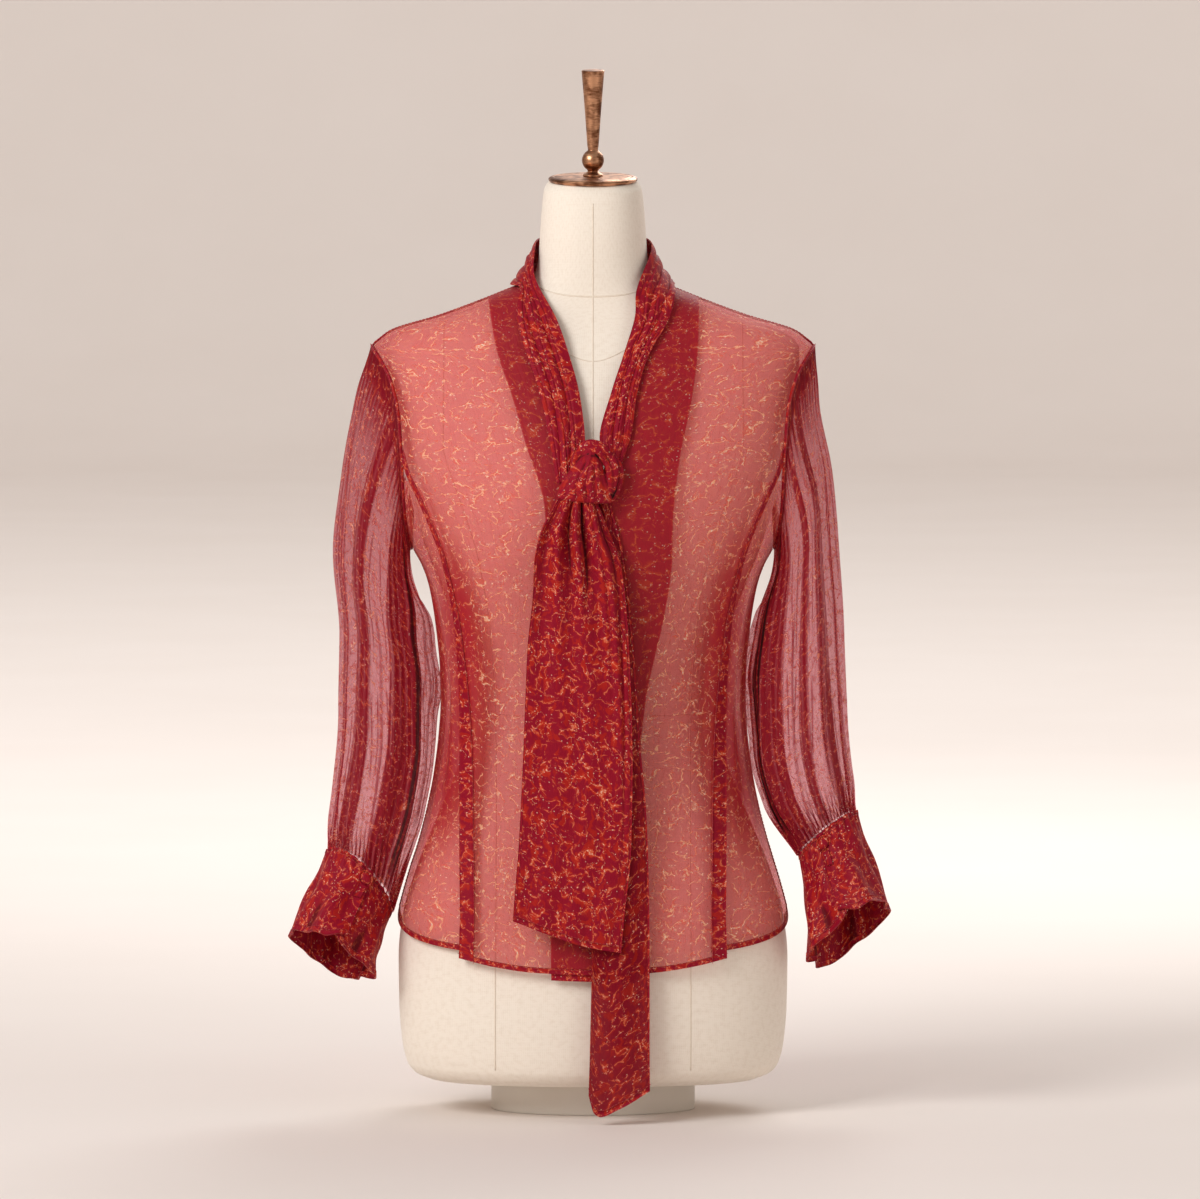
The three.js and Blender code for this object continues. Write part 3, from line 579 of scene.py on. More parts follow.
def lathe(
    name: str, outline: Array, sides: int, place: Callable[[Array], Array], material: Material
) -> Piece:
    """A turned solid whose outline starts and ends on its axis.

    Args:
        name: The object's name.
        outline: Radius and height of each point.
        sides: Faces round it.
        place: Takes upright points to where they belong.
        material: The finish.

    Returns:
        The object.
    """
    angle = np.linspace(0, 2 * np.pi, sides, endpoint=False)
    middle = outline[1:-1]
    across = [middle[:, :1] * np.cos(angle), middle[:, :1] * np.sin(angle)]
    rings = np.stack([*across, np.repeat(middle[:, 1:], sides, axis=1)], -1)
    points, faces = capped(rings, [0, 0, outline[0, 1]], [0, 0, outline[-1, 1]])
    piece = mesh_piece(name, place(points), faces, material)
    recalculated(piece)
    return piece


def rounded_outline(corners: Sequence[tuple[float, float, float]], steps: int = 5) -> Array:
    """An outline with rounded corners.

    Args:
        corners: Radius, height and corner radius of each corner; 0 keeps it sharp.
        steps: Steps round each corner.

    Returns:
        Radius and height of each point.
    """
    flat = np.array(corners, float)
    points: list[Array] = [flat[0, :2]]
    for before, here, after in zip(flat, flat[1:], flat[2:]):
        if here[2] <= 0:
            points.append(here[:2])
            continue
        start = here[:2] + unit(before[:2] - here[:2]) * here[2]
        end = here[:2] + unit(after[:2] - here[:2]) * here[2]
        for t in np.linspace(0, 1, steps + 1):
            points.append((1 - t) ** 2 * start + 2 * t * (1 - t) * here[:2] + t * t * end)
    points.append(flat[-1, :2])
    return np.array(points)


# Finishes


def linear(colour: str) -> tuple[float, float, float, float]:
    """A colour given as an sRGB hex value, in linear light."""
    parts = [int(colour[i : i + 2], 16) / 255 for i in (1, 3, 5)]
    return (*[p / 12.92 if p <= 0.04045 else ((p + 0.055) / 1.055) ** 2.4 for p in parts], 1.0)


def add_node(
    tree: Tree,
    kind: str,
    settings: Mapping[str, object] | None = None,
    inputs: Mapping[int | str, object] | None = None,
) -> bpy.types.Node:
    """Adds a node, with its settings, values and links.

    Args:
        tree: The node tree.
        kind: The node's type.
        settings: The node's own properties.
        inputs: For each input, a value or the socket that feeds it.

    Returns:
        The node.
    """
    node = tree.nodes.new(kind)
    for name, value in (settings or {}).items():
        setattr(node, name, value)
    for key, value in (inputs or {}).items():
        if isinstance(value, Socket):
            tree.links.new(value, node.inputs[key])
        else:
            node.inputs[key].default_value = value
    return node


def new_material(name: str) -> tuple[Material, Tree]:
    """An empty material and its node tree."""
    material = bpy.data.materials.new(name)
    material.use_nodes = True
    material.node_tree.nodes.clear()
    return material, material.node_tree


def finish_material(material: Material, shader: Socket) -> Material:
    """Links the last shader to the material's output."""
    add_node(material.node_tree, "ShaderNodeOutputMaterial", None, {"Surface": shader})
    return material


# The share of a sheer cloth's open ground that its print covers, on the mean
PRINT_SHADE = 0.15
SMOOTH = {"interpolation_type": "SMOOTHSTEP"}
FLAT_NOISE = {"noise_dimensions": "2D"}
FLAT_CELLS = {"voronoi_dimensions": "2D"}


def calc(tree: Tree, operation: str, *values: Socket | float) -> Socket:
    """One sum, product or other operation on values."""
    return add_node(tree, "ShaderNodeMath", {"operation": operation}, dict(enumerate(values))).outputs[0]


def vector(tree: Tree, operation: str, first: Socket, second: Socket | Sequence[float] | float) -> Socket:
    """One operation on a vector, with another vector or, where it is scaled, with a number."""
    values = {0: first, "Scale" if operation == "SCALE" else 1: second}
    return add_node(tree, "ShaderNodeVectorMath", {"operation": operation}, values).outputs[0]


def ramp(tree: Tree, value: Socket, ends: Sequence[float], smooth: bool = False) -> Socket:
    """Takes a value from one span to another; the ends are low, high, and what they turn into."""
    inputs = {0: value, **dict(enumerate(ends, 1))}
    return add_node(tree, "ShaderNodeMapRange", SMOOTH if smooth else None, inputs).outputs[0]


def step(tree: Tree, value: Socket, low: float, high: float) -> Socket:
    """Eases a value from 0 at low to 1 at high, or the other way round where low is above high."""
    rising = low < high
    return ramp(tree, value, (min(low, high), max(low, high), 1.0 - rising, 1.0 * rising), True)


def blend(tree: Tree, share: Socket, first: Socket | str, second: Socket | str) -> Socket:
    """Mixes two colours.

    Args:
        tree: The node tree.
        share: How much of the second colour there is.
        first: A socket or an sRGB hex value.
        second: Likewise.

    Returns:
        The mixed colour.
    """
    colours = [linear(c) if isinstance(c, str) else c for c in (first, second)]
    values = {0: share, 6: colours[0], 7: colours[1]}
    return add_node(tree, "ShaderNodeMix", {"data_type": "RGBA"}, values).outputs[2]


def noise(tree: Tree, place: Socket, scale: float, detail: float = 2.0, flat: bool = False) -> Socket:
    """Soft noise from 0 to 1, in the solid or flat."""
    values = {"Vector": place, "Scale": scale, "Detail": detail}
    return add_node(tree, "ShaderNodeTexNoise", FLAT_NOISE if flat else None, values).outputs["Fac"]


def cloud(tree: Tree, place: Socket, size: float, detail: float = 3.0) -> Socket:
    """Flat soft noise of a given size in millimetres."""
    return noise(tree, place, 1 / size, detail, flat=True)


def bump(tree: Tree, height: Socket, strength: float, distance: float) -> Socket:
    """The direction of a surface that stands out by a height, its distance in millimetres."""
    values = {"Strength": strength, "Distance": distance * MM, "Height": height}
    return add_node(tree, "ShaderNodeBump", None, values).outputs[0]


def surface_of(tree: Tree, colour: Socket, **values: Socket | float) -> Socket:
    """The usual surface; an underscore in a value's name stands for a space."""
    inputs = {name.replace("_", " "): value for name, value in values.items()}
    return add_node(tree, "ShaderNodeBsdfPrincipled", None, {"Base Color": colour, **inputs}).outputs[0]


def mix(tree: Tree, share: Socket | float, first: Socket, second: Socket) -> Socket:
    """Mixes two shaders."""
    return add_node(tree, "ShaderNodeMixShader", None, {0: share, 1: first, 2: second}).outputs[0]


def on_object(tree: Tree) -> Socket:
    """The place on the object, in metres."""
    return add_node(tree, "ShaderNodeTexCoord").outputs["Object"]


def on_cut(tree: Tree) -> Socket:
    """The place on the flat cut, in metres."""
    return add_node(tree, "ShaderNodeUVMap", {"uv_map": "cut"}).outputs["UV"]


@dataclass(frozen=True)
class Chiffon:
    """Crepe chiffon, woven open from hard-twisted yarn and printed.

    The open weave lets the form glow through one layer. Swirls, curled threads of colour and pale
    specks are printed on a crimson ground, and the hard twist gives a pebbled, crinkled surface.
    """

    name: str
    ground: str
    swirl: str
    halo: str
    thread: str
    speck: str
    glow: str
    cover: float
    tint: str = "#FFDCE0"
    # Deeper colour where layers stack, and painted shade where the layers attribute comes from hollows in
    # folds
    stacked_and_shaded: str = "#8C0D22"
    # Thread colour where layers stack and where shade is painted
    deep_thread: str = "#D4502F"
    # Near-black painted shade for the deepest creases, gaps and hollows
    crease_shade: str = "#1E0306"
    ink: float = 1.0
    space: PrintSpace = PrintSpace.CUT
    through: float = 0.45
    gloss: float = 0.3

    def place(self, tree: Tree) -> Socket:
        """The place on the cloth, in millimetres."""
        if self.space is PrintSpace.CUT:
            source = on_cut(tree)
        else:
            part = add_node(tree, "ShaderNodeSeparateXYZ", None, {0: on_object(tree)})
            flat = {"X": part.outputs["X"], "Y": part.outputs["Z"]}
            source = add_node(tree, "ShaderNodeCombineXYZ", None, flat).outputs[0]
        return vector(tree, "SCALE", source, 1 / MM)

    def wander(self, tree: Tree, place: Socket, size: float, reach: float) -> Socket:
        """Bends a place about, so that what is drawn there curls.

        Args:
            tree: The node tree.
            place: The place in millimetres.
            size: Size of one bend.
            reach: How far it bends, in all.

        Returns:
            The bent place.
        """
        values = {"Vector": place, "Scale": 1 / size, "Detail": 2.0}
        drift = add_node(tree, "ShaderNodeTexNoise", FLAT_NOISE, values).outputs["Color"]
        centred = vector(tree, "SUBTRACT", drift, (0.5, 0.5, 0.5))
        return vector(tree, "ADD", place, vector(tree, "SCALE", centred, reach))

    def edge_distance(self, tree: Tree, place: Socket, cell: float) -> Socket:
        """Distance to the edges of cells, as a share of a cell."""
        settings = {**FLAT_CELLS, "feature": "DISTANCE_TO_EDGE"}
        values = {"Vector": place, "Scale": 1 / cell}
        return add_node(tree, "ShaderNodeTexVoronoi", settings, values).outputs["Distance"]

    def print_layers(self, tree: Tree, place: Socket) -> tuple[Socket, ...]:
        """The print: soft swirls, halos along the threads, the threads and the specks.

        Args:
            tree: The node tree.
            place: The place in millimetres.

        Returns:
            The strength of each of the four.
        """
        broad = self.wander(tree, place, 22.0, 18.0)
        curled = self.wander(tree, broad, 4.5, 6.0)
        loose = self.wander(tree, place, 6.0, 10.0)
        strokes = vector(tree, "MULTIPLY", curled, (1.0, 0.45, 1.0))
        swirl = step(tree, cloud(tree, strokes, 5.5, 1.0), 0.54, 0.66)
        large = self.edge_distance(tree, curled, 11.0)
        small = self.edge_distance(tree, loose, 7.5)
        here = step(tree, cloud(tree, place, 20.0), 0.38, 0.54)
        main = step(tree, cloud(tree, curled, 6.5, 2.0), 0.48, 0.54)
        minor = step(tree, cloud(tree, loose, 4.2, 2.0), 0.50, 0.56)
        minor = calc(tree, "MULTIPLY", minor, here)
        around = calc(tree, "MULTIPLY", step(tree, large, 3.0 / 11, 0.3 / 11), main)
        halo = calc(tree, "MULTIPLY", around, calc(tree, "MULTIPLY_ADD", here, 0.7, 0.3))
        threads = calc(tree, "MULTIPLY", step(tree, large, 0.62 / 11, 0.2 / 11), main)
        fine = calc(tree, "MULTIPLY", step(tree, small, 0.5 / 7.5, 0.15 / 7.5), minor)
        threads = calc(tree, "MAXIMUM", threads, calc(tree, "MULTIPLY", fine, 0.8))
        beads = step(tree, cloud(tree, place, 1.7), 0.56, 0.62)
        specks = calc(tree, "MULTIPLY", threads, calc(tree, "MULTIPLY", beads, here))
        dots = add_node(tree, "ShaderNodeTexVoronoi", FLAT_CELLS, {"Vector": place, "Scale": 1 / 5.0})
        pick = add_node(tree, "ShaderNodeSeparateColor", None, {0: dots.outputs["Color"]}).outputs[0]
        dot = step(tree, dots.outputs["Distance"], 0.13, 0.06)
        dot = calc(tree, "MULTIPLY", dot, step(tree, pick, 0.82, 0.88))
        return swirl, halo, threads, calc(tree, "MAXIMUM", specks, dot)

    def crinkle(self, tree: Tree, place: Socket) -> Socket:
        """Fine lengthwise crinkles, 2 to 3 mm across."""
        stretched = vector(tree, "MULTIPLY", place, (0.42, 0.03, 1.0))
        values = {"Vector": stretched, "Scale": 1.0, "Detail": 3.0, "Distortion": 0.4}
        return add_node(tree, "ShaderNodeTexNoise", FLAT_NOISE, values).outputs["Fac"]

    def material(self) -> Material:
        """Builds the material.

        The yarns are 0.25 mm apart, too fine to show, so the crepe's pebble is drawn 1 mm across.
        A ray towards a light meets the print's mean density instead of its threads, because the soft
        shadow is the same and the render is much quicker.
        """
        material, tree = new_material(self.name)
        place = self.place(tree)
        swirl, halo, threads, specks = self.print_layers(tree, place)
        crinkle = self.crinkle(tree, place)
        layers = add_node(tree, "ShaderNodeAttribute", {"attribute_name": "layers"}).outputs["Fac"]
        # Up to 1 the layers attribute deepens the colour for stacked cloth and as painted shade in folds
        stack = calc(tree, "MINIMUM", layers, 1.0)
        # Painted shade: above 1 the layers attribute runs the colour to near black
        deep_shade = step(tree, layers, 1.0, 2.0)
        ground = blend(tree, swirl, self.ground, self.swirl)
        ground = blend(tree, calc(tree, "MULTIPLY", stack, 0.85), ground, self.stacked_and_shaded)
        shown = calc(tree, "MULTIPLY", halo, calc(tree, "MULTIPLY_ADD", stack, -0.3, 0.8))
        colour = blend(tree, shown, ground, self.halo)
        thread = blend(tree, stack, self.thread, self.deep_thread)
        colour = blend(tree, calc(tree, "MULTIPLY", threads, self.ink), colour, thread)
        pale = calc(tree, "MULTIPLY_ADD", stack, -0.5 * self.ink, self.ink)
        colour = blend(tree, calc(tree, "MULTIPLY", specks, pale), colour, self.speck)
        # Painted shade in the deepest creases and gaps, near black
        colour = blend(tree, deep_shade, colour, self.crease_shade)
        pebble = cloud(tree, place, 1.0)
        height = calc(tree, "MULTIPLY_ADD", crinkle, 2.4, pebble)
        relief = bump(tree, height, 0.4, 0.3)
        face = surface_of(
            tree,
            colour,
            Roughness=0.55,
            IOR=1.5,
            Specular_IOR_Level=self.gloss,
            Sheen_Weight=self.gloss / 3,
            Sheen_Roughness=0.4,
            Normal=relief,
        )
        # The light through the cloth dims where layers stack and where shade is painted
        bright = calc(tree, "MULTIPLY_ADD", calc(tree, "MAXIMUM", stack, deep_shade), -0.5, 0.5)
        warm = blend(tree, bright, colour, self.glow)
        lit = add_node(tree, "ShaderNodeBsdfTranslucent", None, {"Color": warm, "Normal": relief})
        cloth = mix(tree, self.through, face, lit.outputs[0])
        if self.cover >= 1:
            return finish_material(material, cloth)
        printed = calc(tree, "MAXIMUM", calc(tree, "MULTIPLY", threads, 0.9), specks)
        printed = calc(tree, "MAXIMUM", printed, calc(tree, "MULTIPLY", halo, 0.5))
        ridged = calc(tree, "MULTIPLY", step(tree, crinkle, 0.5, 0.72), 0.14)
        solid = calc(tree, "MAXIMUM", calc(tree, "MAXIMUM", printed, stack), ridged)
        ends = (0.0, 1.0, self.cover, 0.97)
        clear = add_node(tree, "ShaderNodeBsdfTransparent", None, {"Color": linear(self.tint)}).outputs[0]
        sheer = mix(tree, ramp(tree, solid, ends), clear, cloth)
        density = ramp(tree, calc(tree, "MAXIMUM", stack, PRINT_SHADE), ends)
        dimmed = {"Color": blend(tree, density, self.tint, "#000000")}
        shade = add_node(tree, "ShaderNodeBsdfTransparent", None, dimmed).outputs[0]
        towards_light = add_node(tree, "ShaderNodeLightPath").outputs["Is Shadow Ray"]
        return finish_material(material, mix(tree, towards_light, sheer, shade))


@dataclass(frozen=True)
class Linen:
    """Plain-woven unbleached linen, stretched over the moulded torso.

    Uneven yarns give slubs and a dry, matt surface. Yarns are 0.6 mm apart and drawn 1.5 mm apart,
    which still shows.
    """

    name: str = "linen_plain_weave"
    light: str = "#F4EADC"
    dark: str = "#DDCDB9"
    pitch: float = 1.5

    def material(self) -> Material:
        """Builds the material."""
        material, tree = new_material(self.name)
        place = vector(tree, "SCALE", on_cut(tree), 1 / MM)
        heights = []
        for direction in ("X", "Y"):
            scale = 2 * math.pi / 20 / self.pitch
            values = {"Vector": place, "Scale": scale, "Distortion": 1.2, "Detail Scale": 1.5}
            wave = add_node(tree, "ShaderNodeTexWave", {"bands_direction": direction}, values)
            heights.append(wave.outputs["Fac"])
        weave = calc(tree, "MAXIMUM", *heights)
        slub = noise(tree, place, 0.22, 4.0, flat=True)
        gaps = calc(tree, "MULTIPLY_ADD", weave, -0.28, calc(tree, "MULTIPLY_ADD", slub, -0.9, 0.72))
        face = surface_of(
            tree,
            blend(tree, gaps, self.light, self.dark),
            Roughness=0.92,
            Specular_IOR_Level=0.2,
            Sheen_Weight=0.15,
            Normal=bump(tree, calc(tree, "MULTIPLY_ADD", slub, 0.8, weave), 0.4, 0.2),
        )
        return finish_material(material, face)


@dataclass(frozen=True)
class BronzedBrass:
    """Spun and turned brass, darkened, then brushed back.

    Dark patina stays in broad clouds and turning lines, over a warm worn metal.
    """

    name: str = "bronzed_brass_turned"
    worn: str = "#CF9A76"
    patina: str = "#6B4029"
    turning: float = 0.8

    def material(self) -> Material:
        """Builds the material."""
        material, tree = new_material(self.name)
        place = vector(tree, "SCALE", on_object(tree), 1 / MM)
        clouds = noise(tree, place, 1 / 11, 4.0)
        lines = noise(tree, vector(tree, "MULTIPLY", place, (0.12, 0.12, 1.0)), 1 / self.turning)
        mixed = calc(tree, "MULTIPLY_ADD", lines, 0.35, clouds)
        colour = blend(tree, step(tree, mixed, 0.52, 0.86), self.worn, self.patina)
        rough = ramp(tree, mixed, (0.4, 0.9, 0.26, 0.46))
        relief = bump(tree, lines, 0.12, 0.1)
        face = surface_of(tree, colour, Metallic=1.0, Roughness=rough, Normal=relief)
        return finish_material(material, face)


@dataclass(frozen=True)
class PaintedWood:
    """Beech, sprayed with a satin paint that leaves a faint orange-peel surface."""

    name: str = "wood_spray_painted"
    colour: str = "#EAE4DA"
    shade: str = "#E2DACD"
    peel: float = 1.6

    def material(self) -> Material:
        """Builds the material."""
        material, tree = new_material(self.name)
        place = on_object(tree)
        tone = blend(tree, noise(tree, place, 18.0), self.colour, self.shade)
        relief = bump(tree, noise(tree, place, 1 / self.peel / MM), 0.15, 0.1)
        return finish_material(material, surface_of(tree, tone, Roughness=0.42, Normal=relief))


@dataclass(frozen=True)
class SpunThread:
    """Spun polyester thread: two plies, slightly glossy and fuzzy."""

    name: str = "thread_spun_polyester"
    colour: str = "#9A1F2C"
    light: str = "#C23A40"
    twist: float = 1500.0

    def material(self) -> Material:
        """Builds the material."""
        material, tree = new_material(self.name)
        tone = blend(tree, noise(tree, on_object(tree), self.twist), self.colour, self.light)
        return finish_material(material, surface_of(tree, tone, Roughness=0.5))


# The print's colours: ground, swirl, halo, thread, speck, and what glows through
SHEER = ("#C83C40", "#D04C3C", "#E4552C", "#FFC89C", "#FFF6E2", "#F58A80")
SLEEVE = ("#A81C34", "#AC242E", "#C8402E", "#F2A080", "#FBE2D0", "#CC4A58")
DOUBLED = ("#940B26", "#AE1E1A", "#CC3620", "#E4744E", "#F8D0B8", "#B01428")


class Finishes:
    """All finishes of the object, built once."""

    def __init__(self) -> None:
        """Builds each material."""
        dull = {"gloss": 0.12}
        dense = {**dull, "through": 0.1, "ink": 0.7}
        self.sheer = Chiffon(
            "chiffon_sheer", *SHEER, 0.41, stacked_and_shaded="#BC172F", deep_thread="#DC5A38"
        ).material()
        self.sheer_sleeve = Chiffon(
            "chiffon_sheer_sleeve", *SLEEVE, 0.34, tint="#FFE2E6", ink=0.85, **dull
        ).material()
        self.doubled = Chiffon("chiffon_doubled", *DOUBLED, 1.0, through=0.12, ink=0.75, **dull).material()
        self.facing = Chiffon("chiffon_facing", *DOUBLED, 1.0, **dense).material()
        self.knot = Chiffon(
            "chiffon_gathered", *DOUBLED, 1.0, space=PrintSpace.UPRIGHT, **dense
        ).material()
        self.long_end = Chiffon("chiffon_long_end", *DOUBLED, 0.76, through=0.3, ink=0.75, **dull).material()
        self.linen = Linen().material()
        self.seam = Linen("linen_seam", "#E9DCCB", "#CDBCA6").material()
        self.metal = BronzedBrass().material()
        self.plinth = PaintedWood().material()
        self.thread = SpunThread().material()


# Body shape


class Section:
    """Level sections of a body: half width at the side seams, depth to the front and the back."""

    def __init__(self, table: Table) -> None:
        """Takes the curves from a table with columns z, half, front and back."""
        self.half = table.curve("half")
        self.front = table.curve("front")
        self.back = table.curve("back")
        self.low, self.high = float(table["z"][0]), float(table["z"][-1])

    def point(self, turn: Array | float, z: Array | float) -> Array:
        """Points of the sections, by turn and height."""
        turn, z = np.broadcast_arrays(np.asarray(turn, float), np.asarray(z, float))
        across, fore = sin_deg(turn), cos_deg(turn)
        depth = np.where(fore > 0, self.front(z), self.back(z))
        power = 2 / SQUARENESS
        x = self.half(z) * np.sign(across) * np.abs(across) ** power
        y = -depth * np.sign(fore) * np.abs(fore) ** power
        return np.stack([x, y, z], -1)

    def turn_at(self, x: Array | float, z: Array | float) -> Array:
        """The turn at which the front lies a distance x from the middle."""
        share = np.clip(x / self.half(z), 0, 1)
        return np.degrees(np.arcsin(share ** (SQUARENESS / 2)))


FORM = Section(
    Table(
        "z half front back",
        [
            (30, 148, 82, 98),
            (35.5, 161, 92, 108),
            (44, 167.5, 97.5, 113.5),
            (62, 172, 100.5, 116.5),
            (95, 174.8, 103, 119),
            (140, 175.5, 104, 120),
            (175, 172, 104, 118.5),
            (220, 159, 101.5, 111.5),
            (250, 147, 97.5, 104),
            (290, 130, 90, 92.5),
            (330, 115.5, 83, 82),
            (FORM_WAIST, 110, 80, 77),
            (400, 113, 82.5, 76.5),
            (440, 124, 92, 81),
            (480, 139, 106, 88),
            (510, 151, 116.5, 92.5),
            (540, 160.5, 121, 95.5),
            (570, 168, 120, 98),
            (600, 175, 112, 99.5),
            (640, 181.5, 95, 98),
            (670, 185.5, 79, 92),
            (690, 185, 68.5, 85),
            (700, 175, 62.5, 79),
            (712.6, 141, 57.5, 73),
            (722.6, 110, 54.5, 66.5),
            (732.5, 82, 52.5, 60.5),
            (742, 61, 51.5, 55),
            (752, 53, 52, 51),
            (768, 49, 52.5, 46.5),
            (786, 47.8, 53, 43),
            (812, 46, 51.5, 37.5),
            (830, 43.8, 48.5, 32.5),
            (NECK_TOP, 39.5, 44.5, 28),
        ],
    )
)

SHIRT = Section(
    Table(
        "z half front back",
        [
            (120, 179.5, 111, 126.5),
            (150, 179, 110.5, 125.5),
            (170, 177.5, 110, 123.5),
            (190, 173, 109, 121),
            (220, 164.5, 107, 117),
            (250, 154.5, 104.5, 111),
            (275, 147.5, 102.5, 105.5),
            (307, 140.5, 101, 99.5),
            (341, 135.5, 100.5, 94.5),
            (370, 133.5, 101, 92),
            (400, 134.5, 103, 91.5),
            (440, 139.5, 108.5, 93),
            (472, 146, 115, 95.5),
            (492, 153, 119.5, 97),
            (UNDERARM, 162, 122.5, 98.5),
            (548, 177, 125.7, 102),
            (600, 189, 117, 104),
            (640, 195, 101, 102.5),
            (665, 197.5, 87, 98),
            (SHOULDER_TIP, 197, 73.5, 89.5),
            (697, 189, 69, 85.5),
            (703, 180, 66, 82),
            (716, 138, 61, 75),
            (728, 105, 57.5, 68),
            (NECKLINE, 70, 55.5, 60),
        ],
    )
)

# Folds of the body: the main ones that the solids share, then finer creases between them
BODY_FOLDS = Table(
    "turn top bottom drift width depth",
    [
        (-83, 500, 235, -5, 4.5, 4.0),
        (-71, 545, 265, 9, 4.0, 4.5),
        (-61, 480, 300, 6, 3.5, 3.2),
        (-52, 560, 330, -7, 4.0, 2.6),
        (-77, 330, 175, 12, 4.0, 2.4),
        (-58, 340, 160, 10, 4.5, 2.2),
        (82, 505, 225, 6, 4.5, 4.2),
        (70, 530, 280, -8, 4.0, 4.2),
        (60, 500, 310, -5, 3.5, 3.4),
        (50, 550, 320, 6, 4.5, 2.4),
        (75, 325, 170, -12, 4.0, 2.6),
        (57, 335, 165, -9, 4.5, 2.0),
        (100, 520, 240, 8, 4.5, 4.0),
        (118, 500, 260, -9, 5.0, 3.6),
        (139, 560, 230, 6, 5.0, 3.0),
        (161, 520, 210, -5, 5.0, 2.6),
        (-102, 510, 235, -9, 4.5, 4.2),
        (-121, 530, 270, 8, 5.0, 3.4),
        (-141, 550, 240, -7, 5.0, 3.0),
        (-164, 500, 200, 5, 5.0, 2.4),
    ],
)
FINE_FOLDS = Table(
    "turn top bottom drift width depth",
    [
        (-79, 470, 300, 7, 1.5, 1.8),
        (-66, 440, 250, -6, 1.3, 1.6),
        (-47, 470, 250, 5, 1.4, 1.0),
        (-39, 640, 380, -4, 1.2, 0.8),
        (-31, 560, 210, 3, 1.3, 0.8),
        (-24, 470, 170, -3, 1.2, 0.7),
        (-19, 650, 420, 3, 1.0, 0.7),
        (-13, 420, 180, 2, 1.2, 0.6),
        (-44, 300, 165, 6, 1.5, 1.0),
        (78, 480, 290, -7, 1.5, 1.8),
        (65, 430, 240, 6, 1.3, 1.6),
        (46, 460, 260, -5, 1.4, 1.0),
        (40, 630, 370, 4, 1.2, 0.8),
        (33, 520, 200, -3, 1.3, 0.8),
        (27, 640, 400, -3, 1.1, 0.7),
        (20, 360, 180, 2, 1.2, 0.6),
        (44, 290, 170, -6, 1.5, 1.0),
        (92, 420, 200, 4, 1.6, 1.6),
        (109, 450, 180, -6, 1.7, 1.6),
        (128, 620, 300, 5, 1.5, 1.2),
        (150, 640, 330, -4, 1.5, 1.1),
        (172, 600, 240, 3, 1.4, 1.0),
        (-92, 430, 210, -4, 1.6, 1.6),
        (-112, 440, 190, 6, 1.7, 1.6),
        (-131, 610, 310, -5, 1.5, 1.2),
        (-153, 630, 320, 4, 1.5, 1.1),
        (-175, 420, 160, -3, 1.4, 1.0),
    ],
)

PRINCESS = Table(
    "z x lap",
    [
        (120, 112, 13),
        (300, 111, 12),
        (350, 111.5, 10),
        (430, 117, 6),
        (500, 130, 4),
        (550, 149, 4),
        (580, 163, 4),
        (PRINCESS_TOP, 171, 4),
    ],
)
PRINCESS_X = PRINCESS.curve("x")
PRINCESS_LAP = PRINCESS.curve("lap")

FRONT_EDGE = Table(
    "z x",
    [
        (120, 0.4),
        (556, 0.4),
        (575, 6),
        (600, 15),
        (618, 20),
        (650, 31),
        (690, 44),
        (725, 55),
        (NECKLINE, 60),
    ],
).curve("x")

FACING_EDGES = Table(
    "z right left",
    [
        (120, 37, 38),
        (325, 38, 41.4),
        (381, 39, 47),
        (415, 40, 54),
        (455, 40.5, 63),
        (508, 41, 70),
        (538, 41.5, 70.5),
        (553, 42.5, 71.5),
        (576, 48, 74),
        (600, 57, 78),
        (650, 72, 88.5),
        (691, 86, 93.5),
        (NECKLINE, 95, 95),
    ],
)

CENTRE_HEM = Table("turn z", [(0, 134), (14, 136), (25, 140), (38, 147)]).curve("z", "turn")
SIDE_HEM = Table(
    "turn z", [(30, 152), (45, 155.5), (62, 161.5), (76, 169.5), (90, 183)]
).curve("z", "turn")
BACK_HEM = Table(
    "turn z", [(90, 183), (104, 166), (122, 150), (150, 138), (180, 134)]
).curve("z", "turn")

BODY_HEIGHTS = (
    134, 165, 205, 250, 295, 340, 385, 430, 470, 509, 530, 555, 580, 605, 635, 665, 689, 702, 711,
    719, 726, 731, 736, NECKLINE,
)
SIDE_HEIGHTS = (154, 175, 205, 250, 295, 340, 385, 430, 470, 509, 520, 540, 572)
BACK_HEIGHTS = (
    134, 165, 205, 250, 295, 340, 385, 430, 470, 509, 530, 570, 620, 660, 689, 703, 720, NECKLINE,
)


def ridge(fold: Mapping[str, float], turn: Array, z: Array) -> Array:
    """How far one fold of the body stands out."""
    along = np.clip((z - fold["bottom"]) / (fold["top"] - fold["bottom"]), 0, 1)
    centre = fold["turn"] + fold["drift"] * (1 - along)
    away = wrapped(turn - centre)
    return fold["depth"] * np.sin(np.pi * along) * np.exp(-((away / fold["width"]) ** 2))


def fold_height(turn: Array, z: Array, fine: bool = True) -> Array:
    """How far the body's folds stand out. They lie flat along the lapped seam.

    Args:
        turn: Turn round the body.
        z: Height.
        fine: True for the finer creases too.

    Returns:
        The height at each place.
    """
    from_seam = np.abs(np.abs(turn) - SHIRT.turn_at(PRINCESS_X(z), z))
    flat = np.where(np.abs(wrapped(turn)) < 90, smoothstep(from_seam, 3, 11), 1.0)
    total = np.zeros(np.broadcast(turn, z).shape)
    for fold in BODY_FOLDS.rows():
        total = total + ridge(fold, turn, z)
    if fine:
        for fold in FINE_FOLDS.rows():
            total = total - 0.8 * ridge(fold, turn, z)
    return total * flat


